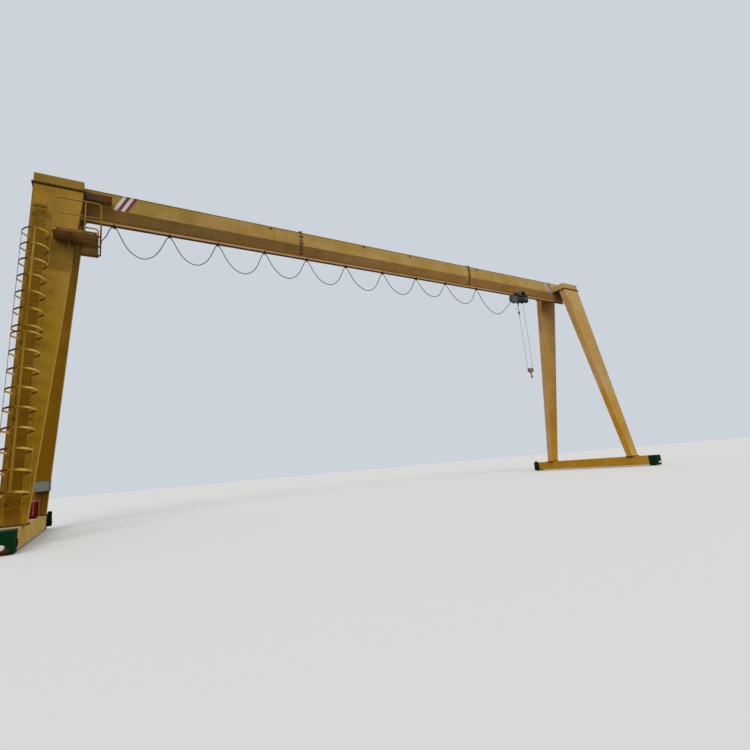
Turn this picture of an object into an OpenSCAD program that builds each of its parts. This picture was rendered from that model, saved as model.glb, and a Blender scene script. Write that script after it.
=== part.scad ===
// Single-girder gantry crane on two ground beams, with a wire-rope hoist under the girder.
// Millimetres, +Z up. Origin: mid span, level with the lowest points of the travel wheels' flanges.
// X runs along the girder, Y along the rails; the ladder side faces -Y.

/* [Span and heights] */
// Distance between the two rails
span = 26000; // [22000:100:30000]
// Height of the girder's top face
girder_top = 11100; // [9500:50:12500]
// Height of the light upright web of the girder
web_height = 580; // [400:10:800]
// Height of the inward slanted plates under the web
slope_height = 360; // [200:10:500]
// Height of the track beam that shows under the slanted plates
track_height = 160; // [140:5:200]

/* [Girder] */
// Half width of the girder's upright part
girder_half = 200; // [150:5:300]
// Half width of the girder where the slanted plates end
slope_half = 90; // [80:5:120]
// Overhang of the top plate
top_lip = 15; // [5:1:30]
// Thickness of the top plate
top_plate = 14; // [10:1:25]
// Distance the girder runs past the rail line
girder_past = 100; // [0:10:200]
// Place of the first bolted joint
splice_a = -4250; // [-6000:50:-3000]
// Place of the second bolted joint
splice_b = 5230; // [3000:10:7000]
// How far the joint plates stand out
splice_lip = 60; // [40:5:100]
// Thickness of one joint plate
splice_plate = 16; // [10:1:30]
// Height of the joint's lifting plate over the girder
splice_lug = 150; // [110:5:200]

/* [Track] */
// Half width of the track's lower flange
flange_half = 70; // [60:5:85]
// Thickness of the track's lower flange at its edge
flange_tip = 12; // [10:1:16]
// Thickness of the track's lower flange beside the web
flange_root = 22; // [18:1:28]
// Thickness of the track's web
track_web = 12; // [8:1:16]

/* [Legs] */
// Half width of a leg at its top, along the girder
leg_top_half = 650; // [500:10:800]
// Half width of a leg at its foot, along the girder
leg_foot_half = 280; // [200:10:400]
// How far the leg's top is set in toward the span
leg_shift = 410; // [300:10:500]
// Outer face of a leg at its top
leg_top_out = 990; // [900:10:1100]
// Inner face of a leg at its top
leg_top_in = 645; // [560:5:700]
// Outer face of a leg at its foot
leg_foot_out = 2670; // [2300:10:2900]
// Inner face of a leg at its foot
leg_foot_in = 2380; // [2000:10:2600]
// Thickness of the bolted flange plates
leg_plate = 25; // [16:1:40]
// Overhang of the bolted flange plates
plate_lip = 45; // [30:5:80]

/* [Saddles] */
// Height of the saddle box over the leg flange
saddle_height = 320; // [250:10:400]
// Half length of the saddle across the girder
saddle_reach = 975; // [900:5:1100]
// Depth from the girder's top to the saddle's underside
saddle_drop = 575; // [500:5:650]
// Length of the shelf beside the left saddle
shelf_length = 780; // [500:10:1000]
// Width of the shelf over the girder's web
shelf_width = 485; // [300:5:600]

/* [Ground beams] */
// Length of a ground beam without its end trucks
beam_length = 6900; // [6000:50:8000]
// Height of a ground beam
beam_height = 460; // [420:10:600]
// Half width of a ground beam
beam_half = 220; // [180:10:280]
// Height of the beam's underside
beam_clear = 60; // [40:5:120]
// How far an end truck stands out past the beam
truck_length = 380; // [370:10:500]
// Tread diameter of a travel wheel
wheel_d = 400; // [320:10:420]
// Width of a travel wheel with its flanges
wheel_w = 110; // [90:5:140]
// Height of a travel wheel's flanges over the tread
wheel_flange = 20; // [12:1:25]
// Length of a buffer
buffer_length = 90; // [60:5:150]

/* [Ladder and cage] */
// Rung spacing
rung_pitch = 300; // [250:10:320]
// Height of the first rung over the leg's foot, along the leg
rung_first = 390; // [200:10:500]
// Half width of the ladder
ladder_half = 175; // [150:5:220]
// Distance of the rungs in front of the leg
ladder_off = 175; // [150:5:220]
// Radius of the cage hoops
hoop_r = 340; // [300:10:380]
// Spacing of the cage hoops
hoop_pitch = 507; // [450:1:550]
// Width of the cage's flat bars
hoop_bar = 50; // [30:5:60]
// Thickness of the cage's flat bars
hoop_t = 8; // [5:1:12]
// Height of the first hoop over the leg's foot, along the leg
cage_start = 660; // [500:10:2200]
// Hoops in the lower length of the cage
lower_hoops = 9; // [4:1:10]
// Hoops in the upper length of the cage
upper_hoops = 7; // [3:1:8]
// Gap between the two lengths of the cage
cage_gap = 124; // [60:1:300]

/* [Platform] */
// Height of the platform floor
deck_z = 8660; // [7500:10:9500]
// Depth of the platform in front of the leg
deck_depth = 570; // [450:10:700]
// Width of the platform beside the leg
deck_side = 580; // [450:10:700]
// Height of the platform's frame
frame_h = 56; // [40:1:100]
// Height of the handrail over the floor
rail_height = 970; // [900:10:1100]
// Diameter of the handrail tube
rail_d = 42; // [30:1:50]
// Bend radius of the handrail tube
rail_bend = 90; // [60:5:150]
// Distance of the handrail posts from the platform's edge
rail_gap = 30; // [10:1:50]

/* [Hoist] */
// Distance of the hoist from the right-hand rail line
hoist_from_rail = 4000; // [2000:100:20000]
// Diameter of the drum housing
drum_d = 330; // [280:10:360]
// Length of the drum housing
drum_length = 820; // [700:10:1000]
// Depth of the drum's axis under the track
drum_drop = 195; // [195:5:300]
// Distance between the two rope falls
fall_gap = 440; // [400:5:500]
// Diameter of the hoist rope
rope_d = 16; // [10:1:20]
// Height of the hook block's sheaves
block_z = 5660; // [3000:10:8000]
// Tread diameter of the trolley rollers at the flange's edge
roller_d = 124; // [100:2:130]

/* [Hidden] */
half_span = span / 2;
flange_z = girder_top - saddle_drop;
web_low = girder_top - web_height;
slope_low = web_low - slope_height;
track_low = slope_low - track_height;
beam_top = beam_clear + beam_height;
girder_end = half_span + girder_past;
leg_lean = atan((leg_foot_out - leg_top_out) / (flange_z - beam_top));
seat_gap = 0.3;
lug_z = girder_top - 80;
lug_places = [splice_a - 1310, splice_a + 3070, splice_b - 3800, splice_b + 590];

truck_y = beam_length / 2;
truck_bottom = 25;
truck_corner = 60;
wheel_r = wheel_d / 2;
wheel_z = wheel_r + wheel_flange;
wheel_y = truck_y + 120;
wheel_room = 20;
axle_d = 90;
cap_d = 170;
cap_t = 20;
bore_gap = 0.1;
case_t = 130;
case_r = 120;
buffer_z = 160;

ladder_bar = 12;
ladder_depth = 50;
ladder_over = 904;
ladder_low = 300;
ladder_top = (deck_z + ladder_over - beam_top) / cos(leg_lean);
foot_first = 500;
foot_pitch = 2100;
cage_y = -(ladder_off + 185);
cage_front = cage_y - hoop_r;
cage_next = cage_start + (lower_hoops - 1) * hoop_pitch + hoop_bar + cage_gap;

// Share of the way down a leg, and the leg's faces there
function leg_share(z) = (flange_z - z) / (flange_z - beam_top);
function leg_out(z) = leg_top_out + leg_share(z) * (leg_foot_out - leg_top_out);
function leg_in(z) = leg_top_in + leg_share(z) * (leg_foot_in - leg_top_in);
function leg_side(z) = leg_shift + leg_top_half - leg_share(z) * (leg_shift + leg_top_half - leg_foot_half);

deck_t = 6;
deck_gap = 12;
deck_low = deck_z - frame_h;
notch_x = leg_side(deck_z) + deck_gap;
notch_y = -(leg_out(deck_low) + deck_gap);
deck_left = hoop_r + 75;
deck_right = notch_x + deck_side;
deck_front = notch_y - deck_depth;
deck_back = -(girder_half + 130);
joist_a = notch_y - 150;
joist_b = notch_y + 330;
bar_t = 8;
brace_low = deck_low - 620;
rail_front = deck_front - rail_gap - rail_d / 2;
rail_right = deck_right + rail_gap + rail_d / 2;
clip_y = -1120;
clip_z = deck_z + 130;

box_x = -40;
box_w = 410;
box_z = 1300;
box_h = 340;
box_front = leg_in(box_z + box_h / 2) - 230;
unit_x = 50;
unit_y = 900;
unit_d = 320;

hoist_x = half_span - hoist_from_rail;
drum_r = drum_d / 2;
drum_rim = drum_r + 12;
drum_z = track_low - drum_drop;
guide_h = 34;
fall_top = drum_z - drum_r - guide_h;
side_y = flange_half + 12;
side_t = 14;
roller_in = track_web / 2 + 14;
roller_out = flange_half - 3;
flange_fall = (flange_root - flange_tip) / (flange_half - track_web / 2 - 10);
roller_z = track_low + flange_tip + (flange_half - roller_out) * flange_fall + seat_gap + roller_d / 2;
frame_x = 180;
frame_half = 575;
roller_x = 300;
pin_d = 30;
case_y = side_y + side_t;
drive_r = 118;
drive_z = track_low + 72;
drive_out = 235;
drive_x = 180;
gear_t = 170;
gear_r = drum_r + 10;
ebox = [-940, -480, -345, -205];
ebox_low = drum_z - 345;
ebox_high = drum_z + 5;

hook_x = hoist_x + 130;
sheave_r = 107;
sheave_x = fall_gap / 2 - rope_d / 2 - sheave_r;
groove_gap = 0.3;
cheek_r = 122;
cheek_y = 24;
cheek_t = 20;
pin_block_d = 40;
hook_r = 66;
hook_bar = 48;
shank_r = 20;
hook_neck = block_z - 186;
hook_back = hook_r * cos(45) / (1 - sin(45));
hook_c = hook_neck - 10 - hook_back;

// Route of the festoon cable between the clip on the rail post and the box on the hoist. The points are
// measured at the stated sizes and stretched to the others; each pair at hang_z is one hanger
cable_d = 30;
clamp_z = track_low - 40;
gland_y = -265;
hang_from = -11442.4;
hang_to = 8030;
hang_z = 9960;
hang_points = [
  [-11370, -800, 9070], [-11270, -450, 9430], [-11190, -200, 9760],
  [-11130, 0, 9960], [-10990, 0, 9960], [-10760, 0, 9430], [-10480, 0, 9080], [-10160, 0, 8960],
  [-9870, 0, 9080], [-9610, 0, 9430], [-9390, 0, 9960], [-9250, 0, 9960], [-9010, 0, 9460],
  [-8730, 0, 9130], [-8410, 0, 9020], [-8140, 0, 9130], [-7890, 0, 9460], [-7690, 0, 9960],
  [-7550, 0, 9960], [-7290, 0, 9420], [-6980, 0, 9070], [-6630, 0, 8950], [-6340, 0, 9070],
  [-6080, 0, 9420], [-5870, 0, 9960], [-5730, 0, 9960], [-5480, 0, 9470], [-5170, 0, 9140],
  [-4830, 0, 9030], [-4530, 0, 9140], [-4260, 0, 9470], [-4040, 0, 9960], [-3900, 0, 9960],
  [-3640, 0, 9460], [-3320, 0, 9130], [-2970, 0, 9020], [-2670, 0, 9130], [-2400, 0, 9460],
  [-2180, 0, 9960], [-2040, 0, 9960], [-1770, 0, 9460], [-1430, 0, 9120], [-1060, 0, 9010],
  [-750, 0, 9120], [-470, 0, 9460], [-240, 0, 9960], [-100, 0, 9960], [170, 0, 9480],
  [500, 0, 9170], [870, 0, 9060], [1190, 0, 9170], [1470, 0, 9480], [1710, 0, 9960],
  [1850, 0, 9960], [2100, 0, 9550], [2410, 0, 9280], [2760, 0, 9190], [3070, 0, 9280],
  [3340, 0, 9550], [3570, 0, 9960], [3710, 0, 9960], [4020, 0, 9490], [4400, 0, 9180],
  [4830, 0, 9070], [5170, 0, 9180], [5470, 0, 9490], [5720, 0, 9960], [5860, 0, 9960],
  [6200, 0, 9300], [6620, 0, 8920], [6850, 0, 8790], [7060, -60, 8700], [7330, -140, 8790],
  [7540, -190, 8950], [7700, -225, 9120], [7850, -250, 9255]];
route_from = rail_right - half_span;
route_to = hoist_x + ebox[0] - 30;
cable_route = concat([[route_from, clip_y + 35, clip_z + 30]],
  [for (p = hang_points) [route_from + (p[0] - hang_from) * (route_to - route_from) / (hang_to - hang_from),
    p[1], p[2] == hang_z ? clamp_z : clamp_z + p[2] - hang_z]],
  [[route_to - 40, gland_y, ebox_low - 60], [route_to, gland_y, ebox_low]]);
route_last = len(cable_route) - 1;
clamps = [for (i = [1 : route_last - 1]) if (cable_route[i][2] == clamp_z && cable_route[i + 1][2] == clamp_z)
  (cable_route[i] + cable_route[i + 1]) / 2];
clamp_half = 75;

yellow = [0.72, 0.56, 0.16];
green = [0.06, 0.20, 0.13];
steel = [0.45, 0.46, 0.47];
dark = [0.12, 0.12, 0.13];

// One end of the crane: local +X points to mid span
module at_end(side) {
  translate([side * half_span, 0, 0]) mirror([side > 0 ? 1 : 0, 0, 0]) children();
}

// The same thing on both sides of the XZ plane
module both_sides() { for (s = [0, 1]) mirror([0, s, 0]) children(); }

// Prism with its outline in XZ, centred on Y
module prism_xz(points, depth) {
  rotate([90, 0, 0]) linear_extrude(height = depth, center = true) polygon(points);
}

// Prism with its outline in YZ, from x0 to x1
module prism_yz(points, x0, x1) {
  translate([x0, 0, 0]) rotate([90, 0, 90]) linear_extrude(height = x1 - x0) polygon(points);
}

module block(x0, x1, y0, y1, z0, z1) {
  translate([x0, y0, z0]) cube([x1 - x0, y1 - y0, z1 - z0]);
}

// Cylinders along X, Y and Z
module rod_x(x0, x1, y, z, d) {
  translate([x0, y, z]) rotate([0, 90, 0]) cylinder(d = d, h = x1 - x0, $fn = 64);
}
module rod_y(x, y0, y1, z, d) {
  translate([x, y0, z]) rotate([-90, 0, 0]) cylinder(d = d, h = y1 - y0, $fn = 64);
}
module rod_z(x, y, z0, z1, d) {
  translate([x, y, z0]) cylinder(d = d, h = z1 - z0, $fn = 64);
}

// Turned bodies: each profile point is a radius and a place along +X or +Y
module turned_x(y, z, profile) {
  translate([0, y, z]) rotate([0, 90, 0]) rotate_extrude($fn = 64) polygon(profile);
}
module turned_y(x, z, profile) {
  translate([x, 0, z]) rotate([-90, 0, 0]) rotate_extrude($fn = 64) polygon(profile);
}

// Motor standing on its flange: ribbed body and fan cover along +Z
module motor(r, h) {
  rib_top = h * 0.76;
  rotate_extrude($fn = 64) polygon([[0, 0], [r + 14, 0], [r + 14, 12], [r - 12, 18], [r - 12, rib_top],
    [r, rib_top], [r, h - 22], [r - 14, h], [0, h]]);
  for (a = [15 : 30 : 345]) rotate([0, 0, a]) translate([r - 30, -4, 12]) cube([27, 8, rib_top - 6]);
}

// Tube swept along points, with a radius at each and its section's width across Y as a share of that
module tube(path, radii, flats, sides) {
  n = len(path);
  function dir(i) = let (v = path[min(i + 1, n - 1)] - path[max(i - 1, 0)]) v / norm(v);
  pts = [for (i = [0 : n - 1]) let (t = dir(i), c = cross(t, [0, 1, 0]), u = c / norm(c), w = cross(t, u))
    for (k = [0 : sides - 1]) let (a = 360 * k / sides)
      path[i] + radii[i] * (cos(a) * u + flats[i] * sin(a) * w)];
  faces = concat(
    [[for (k = [0 : sides - 1]) sides - 1 - k]],
    [for (i = [0 : n - 2]) for (k = [0 : sides - 1])
      let (a = i * sides + k, b = i * sides + (k + 1) % sides) [a, b, b + sides, a + sides]],
    [[for (k = [0 : sides - 1]) (n - 1) * sides + k]]);
  polyhedron(points = pts, faces = faces, convexity = 10);
}

// GIRDER
function girder_outline() = [
  [-slope_half, slope_low], [slope_half, slope_low], [girder_half, web_low],
  [girder_half, girder_top - top_plate], [girder_half + top_lip, girder_top - top_plate],
  [girder_half + top_lip, girder_top], [-girder_half - top_lip, girder_top],
  [-girder_half - top_lip, girder_top - top_plate], [-girder_half, girder_top - top_plate],
  [-girder_half, web_low]];

module girder_part(x0, x1) {
  color(yellow) prism_yz(girder_outline(), x0, x1);
}

module girder_left() { girder_part(-girder_end, splice_a - splice_plate); }
module girder_middle() { girder_part(splice_a + splice_plate, splice_b - splice_plate); }
module girder_right() { girder_part(splice_b + splice_plate, girder_end); }

function joint_outline(lip) = [
  [-slope_half - lip, slope_low], [slope_half + lip, slope_low],
  [girder_half + lip, web_low], [girder_half + lip, girder_top + lip],
  [-girder_half - lip, girder_top + lip], [-girder_half - lip, web_low]];

// Two flange plates with a groove at their joint, a lifting plate on top and gussets on the webs
module splice_plates() {
  groove = 3;
  gusset = 140;
  color(yellow) for (x = [splice_a, splice_b]) {
    prism_yz(joint_outline(splice_lip), x - splice_plate, x - groove);
    prism_yz(joint_outline(splice_lip - 8), x - groove, x + groove);
    prism_yz(joint_outline(splice_lip), x + groove, x + splice_plate);
    difference() {
      block(x - splice_plate, x + splice_plate, -60, 60, girder_top + splice_lip - 1,
        girder_top + splice_lug);
      rod_x(x - 2 * splice_plate, x + 2 * splice_plate, 0, girder_top + splice_lug - 42, 45);
    }
    both_sides() for (m = [0, 1]) translate([x, 0, 0]) mirror([m, 0, 0])
      for (z = [web_low + 110, girder_top - 170]) translate([0, 0, z]) linear_extrude(height = 10)
        polygon([[splice_plate, girder_half], [splice_plate + gusset, girder_half],
          [splice_plate, girder_half + splice_lip - 8]]);
  }
}

// Small round eyes on the near web, just under the top plate
module girder_lugs() {
  y = -girder_half;
  color(dark) for (x = lug_places) {
    block(x - 45, x + 45, y - 6, y, lug_z - 22, lug_z + 22);
    difference() {
      rod_y(x, y - 26, y - 6, lug_z, 64);
      rod_y(x, y - 27, y - 5, lug_z, 26);
    }
  }
}

// Lower part of the track beam: web and running flange, thicker beside the web
module track_beam() {
  web = track_web / 2;
  half = [[flange_half, track_low], [flange_half, track_low + flange_tip],
    [web + 10, track_low + flange_root], [web, track_low + flange_root + 10], [web, slope_low]];
  color(yellow) prism_yz(concat(half, [for (i = [4 : -1 : 0]) [-half[i][0], half[i][1]]]),
    -girder_end, girder_end);
}

// SADDLES AND LEGS
module saddle() {
  x0 = leg_shift - leg_top_half;
  x1 = leg_shift + leg_top_half;
  color(yellow) both_sides() {
    block(x0, x1, girder_half, saddle_reach, flange_z, flange_z + saddle_height);
    block(x0 - plate_lip, x1 + plate_lip, leg_top_in - plate_lip, leg_top_out + plate_lip,
      flange_z - leg_plate, flange_z);
  }
}
module saddle_left() { at_end(-1) saddle(); }
module saddle_right() { at_end(1) saddle(); }

// Leg between its flange faces on the -Y side: tapered along X, leaning along Y
module leg_solid() {
  reach = leg_top_half + leg_shift + leg_foot_half;
  intersection() {
    prism_xz([[leg_shift - leg_top_half, flange_z], [leg_shift + leg_top_half, flange_z],
      [leg_foot_half, beam_top], [-leg_foot_half, beam_top]], 3 * leg_foot_out);
    prism_yz([[-leg_top_out, flange_z], [-leg_top_in, flange_z], [-leg_foot_in, beam_top],
      [-leg_foot_out, beam_top]], -reach, reach);
  }
}

// A leg with its head and foot plates
module leg() {
  reach = leg_top_half + leg_shift + leg_foot_half;
  color(yellow) {
    intersection() {
      leg_solid();
      block(-reach, reach, -2 * leg_foot_out, 0, beam_top + leg_plate, flange_z - 2 * leg_plate);
    }
    block(leg_shift - leg_top_half - plate_lip, leg_shift + leg_top_half + plate_lip,
      -leg_top_out - plate_lip, -leg_top_in + plate_lip,
      flange_z - 2 * leg_plate, flange_z - leg_plate);
    block(-leg_foot_half - plate_lip, leg_foot_half + plate_lip,
      -leg_foot_out - plate_lip, -leg_foot_in + plate_lip, beam_top, beam_top + leg_plate);
  }
}
module leg_left_near() { at_end(-1) leg(); }
module leg_left_far() { at_end(-1) mirror([0, 1, 0]) leg(); }
module leg_right_near() { at_end(1) leg(); }
module leg_right_far() { at_end(1) mirror([0, 1, 0]) leg(); }

// GROUND BEAMS AND RUNNING GEAR
module wheel_pocket(y0, y1, z0) {
  half = wheel_w / 2 + wheel_room;
  block(-half, half, y0, y1, z0, wheel_z + wheel_r + wheel_flange + wheel_room);
}

module ground_beam() {
  color(yellow) difference() {
    block(-beam_half, beam_half, -truck_y, truck_y, beam_clear, beam_top);
    both_sides() wheel_pocket(wheel_y - wheel_z - wheel_room, truck_y + 1, beam_clear - 1);
  }
}
module ground_beam_left() { at_end(-1) ground_beam(); }
module ground_beam_right() { at_end(1) ground_beam(); }

// End truck on the -Y end: round lower corner, pocket for the wheel, bore and caps for its axle
module truck(drive) {
  y1 = -truck_y - truck_length;
  color(green) {
    difference() {
      translate([-beam_half, 0, 0]) rotate([90, 0, 90]) linear_extrude(height = 2 * beam_half) {
        polygon([[-truck_y, truck_bottom], [y1 + truck_corner, truck_bottom],
          [y1, truck_bottom + truck_corner], [y1, beam_top - 20], [y1 + 20, beam_top],
          [-truck_y, beam_top]]);
        translate([y1 + truck_corner, truck_bottom + truck_corner]) circle(r = truck_corner, $fn = 64);
      }
      wheel_pocket(y1 + 18, -truck_y + 1, truck_bottom - 1);
      rod_x(-beam_half - 1, beam_half + 1, -wheel_y, wheel_z, axle_d + 2 * bore_gap);
    }
    for (s = [0, 1]) mirror([s, 0, 0]) rod_x(beam_half, beam_half + cap_t, -wheel_y, wheel_z, cap_d);
  }
}
module truck_left_near() { at_end(-1) truck(); }
module truck_left_far() { at_end(-1) mirror([0, 1, 0]) truck(); }
module truck_right_near() { at_end(1) truck(); }
module truck_right_far() { at_end(1) mirror([0, 1, 0]) truck(); }

// Turned wheels with two flanges, dished web and hub, each on its axle
module travel_wheels() {
  hw = wheel_w / 2;
  top = wheel_r + wheel_flange;
  half = [[0, hw + 6], [70, hw + 6], [70, 14], [wheel_r - 36, 14], [wheel_r - 28, hw - 5],
    [top - 5, hw], [top, hw - 5], [top, hw - 11], [wheel_r, hw - 19]];
  profile = concat(half, [for (i = [len(half) - 1 : -1 : 0]) [half[i][0], -half[i][1]]]);
  color(steel) for (e = [-1, 1]) at_end(e) for (s = [-1, 1]) {
    turned_x(s * wheel_y, wheel_z, profile);
    rod_x(-beam_half, beam_half, s * wheel_y, wheel_z, axle_d);
  }
}

// Gear case round the axle's end and an upright ribbed motor, on the span side of each far truck
module travel_drives() {
  x0 = beam_half + cap_t;
  case_top = wheel_z + case_r + 30;
  color(green) for (e = [-1, 1]) at_end(e) {
    translate([x0, wheel_y, wheel_z]) rotate([90, 0, 90]) linear_extrude(height = case_t) {
      circle(r = case_r, $fn = 64);
      translate([-case_r, 0]) square([2 * case_r, case_r + 30]);
    }
    rod_x(x0 + case_t, x0 + case_t + 14, wheel_y, wheel_z, 110);
    translate([x0 + case_t / 2, wheel_y, case_top]) motor(68, 240);
  }
}

// Turned buffers on the end trucks
module buffers() {
  y1 = truck_y + truck_length;
  tip = y1 + buffer_length;
  color([0.85, 0.83, 0.75]) for (e = [-1, 1]) at_end(e) both_sides()
    turned_y(0, buffer_z, [[0, y1], [60, y1], [60, y1 + 14], [40, y1 + 18], [46, tip - 45],
      [50, tip - 22], [46, tip - 6], [36, tip], [0, tip]]);
}

// Tray-shaped shelf on the near web, open below, beside the left saddle
module service_shelf() {
  x0 = leg_shift + leg_top_half;
  z0 = girder_top - 400;
  edge = 50;
  color(yellow) at_end(-1) difference() {
    block(x0, x0 + shelf_length, -girder_half - shelf_width, -girder_half, z0, z0 + edge);
    block(x0 + 8, x0 + shelf_length - 8, -girder_half - shelf_width + 8, -girder_half - 8,
      z0 - 1, z0 + edge - 8);
  }
}

// LADDER AND CAGE
// Frame on the left near leg's outer face: local +Z runs up the face, -Y points away from it
module on_leg() {
  at_end(-1) translate([0, -leg_foot_out, beam_top]) rotate([-leg_lean, 0, 0]) children();
}

module ladder() {
  inside = ladder_half - ladder_bar / 2;
  rungs = floor((ladder_top - rung_first - rung_pitch) / rung_pitch);
  color(yellow) on_leg() {
    for (s = [-1, 1]) {
      block(s * ladder_half - ladder_bar / 2, s * ladder_half + ladder_bar / 2,
        -ladder_off - ladder_depth / 2, -ladder_off + ladder_depth / 2, ladder_low, ladder_top);
      for (z = [foot_first : foot_pitch : ladder_top - 200]) {
        block(s * ladder_half - ladder_bar / 2, s * ladder_half + ladder_bar / 2,
          -ladder_off + ladder_depth / 2, -seat_gap, z, z + 60);
        block(s * ladder_half - 40, s * ladder_half + 40, -seat_gap - 8, -seat_gap, z - 20, z + 80);
      }
    }
    for (i = [0 : rungs]) rod_x(-inside, inside, -ladder_off, rung_first + i * rung_pitch, 24);
    block(-inside, inside, -ladder_off - ladder_depth / 2, -ladder_off + ladder_depth / 2,
      ladder_top - 60, ladder_top);
  }
}

// Half-round flat hoop with two arms back to the ladder's stiles
module hoop(z) {
  stile = ladder_half + ladder_bar / 2;
  translate([0, 0, z]) linear_extrude(height = hoop_bar) {
    difference() {
      translate([0, cage_y]) circle(r = hoop_r, $fn = 64);
      translate([0, cage_y]) circle(r = hoop_r - hoop_t, $fn = 64);
      translate([-hoop_r - 5, cage_y]) square([2 * hoop_r + 10, hoop_r + 5]);
    }
    for (s = [-1, 1])
      polygon([[s * hoop_r, cage_y], [s * (hoop_r - hoop_t), cage_y], [s * stile, -ladder_off - 17],
        [s * stile, -ladder_off + 12], [s * (stile + 6), -ladder_off + 12],
        [s * (stile + 6), -ladder_off - 14]]);
  }
}

// One length of the cage: hoops joined by three flat bars
module cage(z0, count) {
  z1 = z0 + (count - 1) * hoop_pitch + hoop_bar;
  color(yellow) on_leg() {
    for (i = [0 : count - 1]) hoop(z0 + i * hoop_pitch);
    block(-hoop_bar / 2, hoop_bar / 2, cage_front + hoop_t - 1, cage_front + 2 * hoop_t - 2, z0, z1);
    for (s = [-1, 1])
      block(s * (hoop_r - hoop_t - 3) - 3, s * (hoop_r - hoop_t - 3) + 3, cage_y - hoop_bar, cage_y,
        z0, z1);
  }
}
module cage_lower() { cage(cage_start, lower_hoops); }
module cage_upper() { cage(cage_next, upper_hoops); }

// PLATFORM
// Bays of the platform's frame between its bars
function bays() = [
  [deck_left + bar_t, deck_right - bar_t, deck_front + bar_t, joist_a - bar_t / 2],
  [deck_left + bar_t, notch_x - bar_t / 2, joist_a + bar_t / 2, notch_y - bar_t],
  [notch_x + bar_t, deck_right - bar_t, joist_a + bar_t / 2, joist_b - bar_t / 2],
  [notch_x + bar_t, deck_right - bar_t, joist_b + bar_t / 2, deck_back - bar_t]];

// Floor plate on a frame of upright bars, cut out round the leg's corner
module platform_deck() {
  outline = [[deck_left, deck_front], [deck_right, deck_front], [deck_right, deck_back],
    [notch_x, deck_back], [notch_x, notch_y], [deck_left, notch_y]];
  color(yellow) at_end(-1) {
    translate([0, 0, deck_z - deck_t]) linear_extrude(height = deck_t) polygon(outline);
    translate([0, 0, deck_low]) linear_extrude(height = frame_h - deck_t + 1) difference() {
      polygon(outline);
      for (b = bays()) translate([b[0], b[2]]) square([b[1] - b[0], b[3] - b[2]]);
    }
  }
}

// Arms under the floor with sloping braces to the leg; their inner ends are cut to its faces
module platform_brackets() {
  arm = 50;
  top = deck_low;
  foot_y = -leg_out(brace_low) - 6;
  foot_x = leg_side(brace_low) + 6;
  color(yellow) at_end(-1) difference() {
    union() {
      for (x = [deck_left - arm, leg_side(brace_low) - 2 * arm]) {
        block(x, x + arm, deck_front + 60, -leg_in(top) - 100, top - bar_t, top);
        prism_yz([[deck_front + 90, top], [deck_front + 110, top], [foot_y + 20, brace_low],
          [foot_y, brace_low]], x + 10, x + 10 + bar_t);
        prism_yz([[foot_y + 100, brace_low - 20], [foot_y, brace_low - 20],
          [-leg_out(top) - 8, top], [-leg_out(top) + 60, top]], x, x + arm);
      }
      for (y = [-leg_out(top) + 60, -leg_out(top) + 190]) {
        block(notch_x - 300, deck_right - 60, y, y + arm, top - bar_t, top);
        translate([0, y + 20, 0]) prism_xz([[leg_side(top) + 150, top], [leg_side(top) + 200, top],
          [foot_x + 30, brace_low], [foot_x - 20, brace_low]], 40);
        translate([0, y + 20, 0]) prism_xz([[foot_x - 100, brace_low - 20], [foot_x + 4, brace_low - 20],
          [leg_side(top) + 10, top], [leg_side(top) - 90, top]], 60);
      }
    }
    leg_solid();
  }
}

// Bent tube frame w by h in the XZ plane, its lower left corner at the origin
module tube_frame(w, h, closed) {
  r = rail_bend;
  for (c = [[w - r, h - r, 0], [r, h - r, 90], [r, r, 180], [w - r, r, 270]])
    if (closed || c[1] > h / 2)
      translate([c[0], 0, c[1]]) rotate([90, 0, 0]) rotate([0, 0, c[2]])
        rotate_extrude(angle = 90, $fn = 48) translate([r, 0]) circle(d = rail_d, $fn = 24);
  rod_x(r, w - r, 0, h, rail_d);
  if (closed) rod_x(r, w - r, 0, 0, rail_d);
  for (x = [0, w]) rod_z(x, 0, closed ? r : 0, h - r, rail_d);
  rod_x(rail_d / 2 - 3, w - rail_d / 2 + 3, 0, h / 2, rail_d - 8);
}

// Closed frames outside the front and right edges, an open one on the back edge, and the cable's clip
module handrail() {
  z0 = deck_z - 10;
  h = deck_z + rail_height - rail_d / 2 - z0;
  front_w = rail_right - deck_left;
  side_y0 = rail_front + 60;
  side_w = deck_back - 40 - side_y0;
  first = cable_route[1] - cable_route[0];
  color(yellow) at_end(-1) {
    translate([deck_left, rail_front, z0]) {
      tube_frame(front_w, h, true);
      rod_z(front_w - 400, 0, 0, h, rail_d - 6);
    }
    for (x = [deck_left + rail_bend, rail_right - 400, deck_right - rail_bend])
      block(x - 25, x + 25, rail_front, deck_front, deck_low + 4, deck_z - 12);
    translate([rail_right, side_y0, z0]) rotate([0, 0, 90]) {
      tube_frame(side_w, h, true);
      rod_z(clip_y - side_y0, 0, 0, h, rail_d - 6);
    }
    for (y = [side_y0 + rail_bend, clip_y, deck_back - 40 - rail_bend])
      block(deck_right, rail_right, y - 25, y + 25, deck_low + 4, deck_z - 12);
    difference() {
      block(rail_right - 32, rail_right + 38, clip_y + 5, clip_y + 65, clip_z - 5, clip_z + 65);
      translate(cable_route[0] + [half_span, 0, 0])
        rotate([0, acos(first[2] / norm(first)), atan2(first[1], first[0])])
        translate([0, 0, -seat_gap]) cylinder(d = cable_d + 2 * seat_gap, h = 120, $fn = 64);
    }
    translate([notch_x + 45, deck_back - 30, deck_z])
      tube_frame(deck_right - notch_x - 75, h - 10, false);
  }
}

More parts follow.
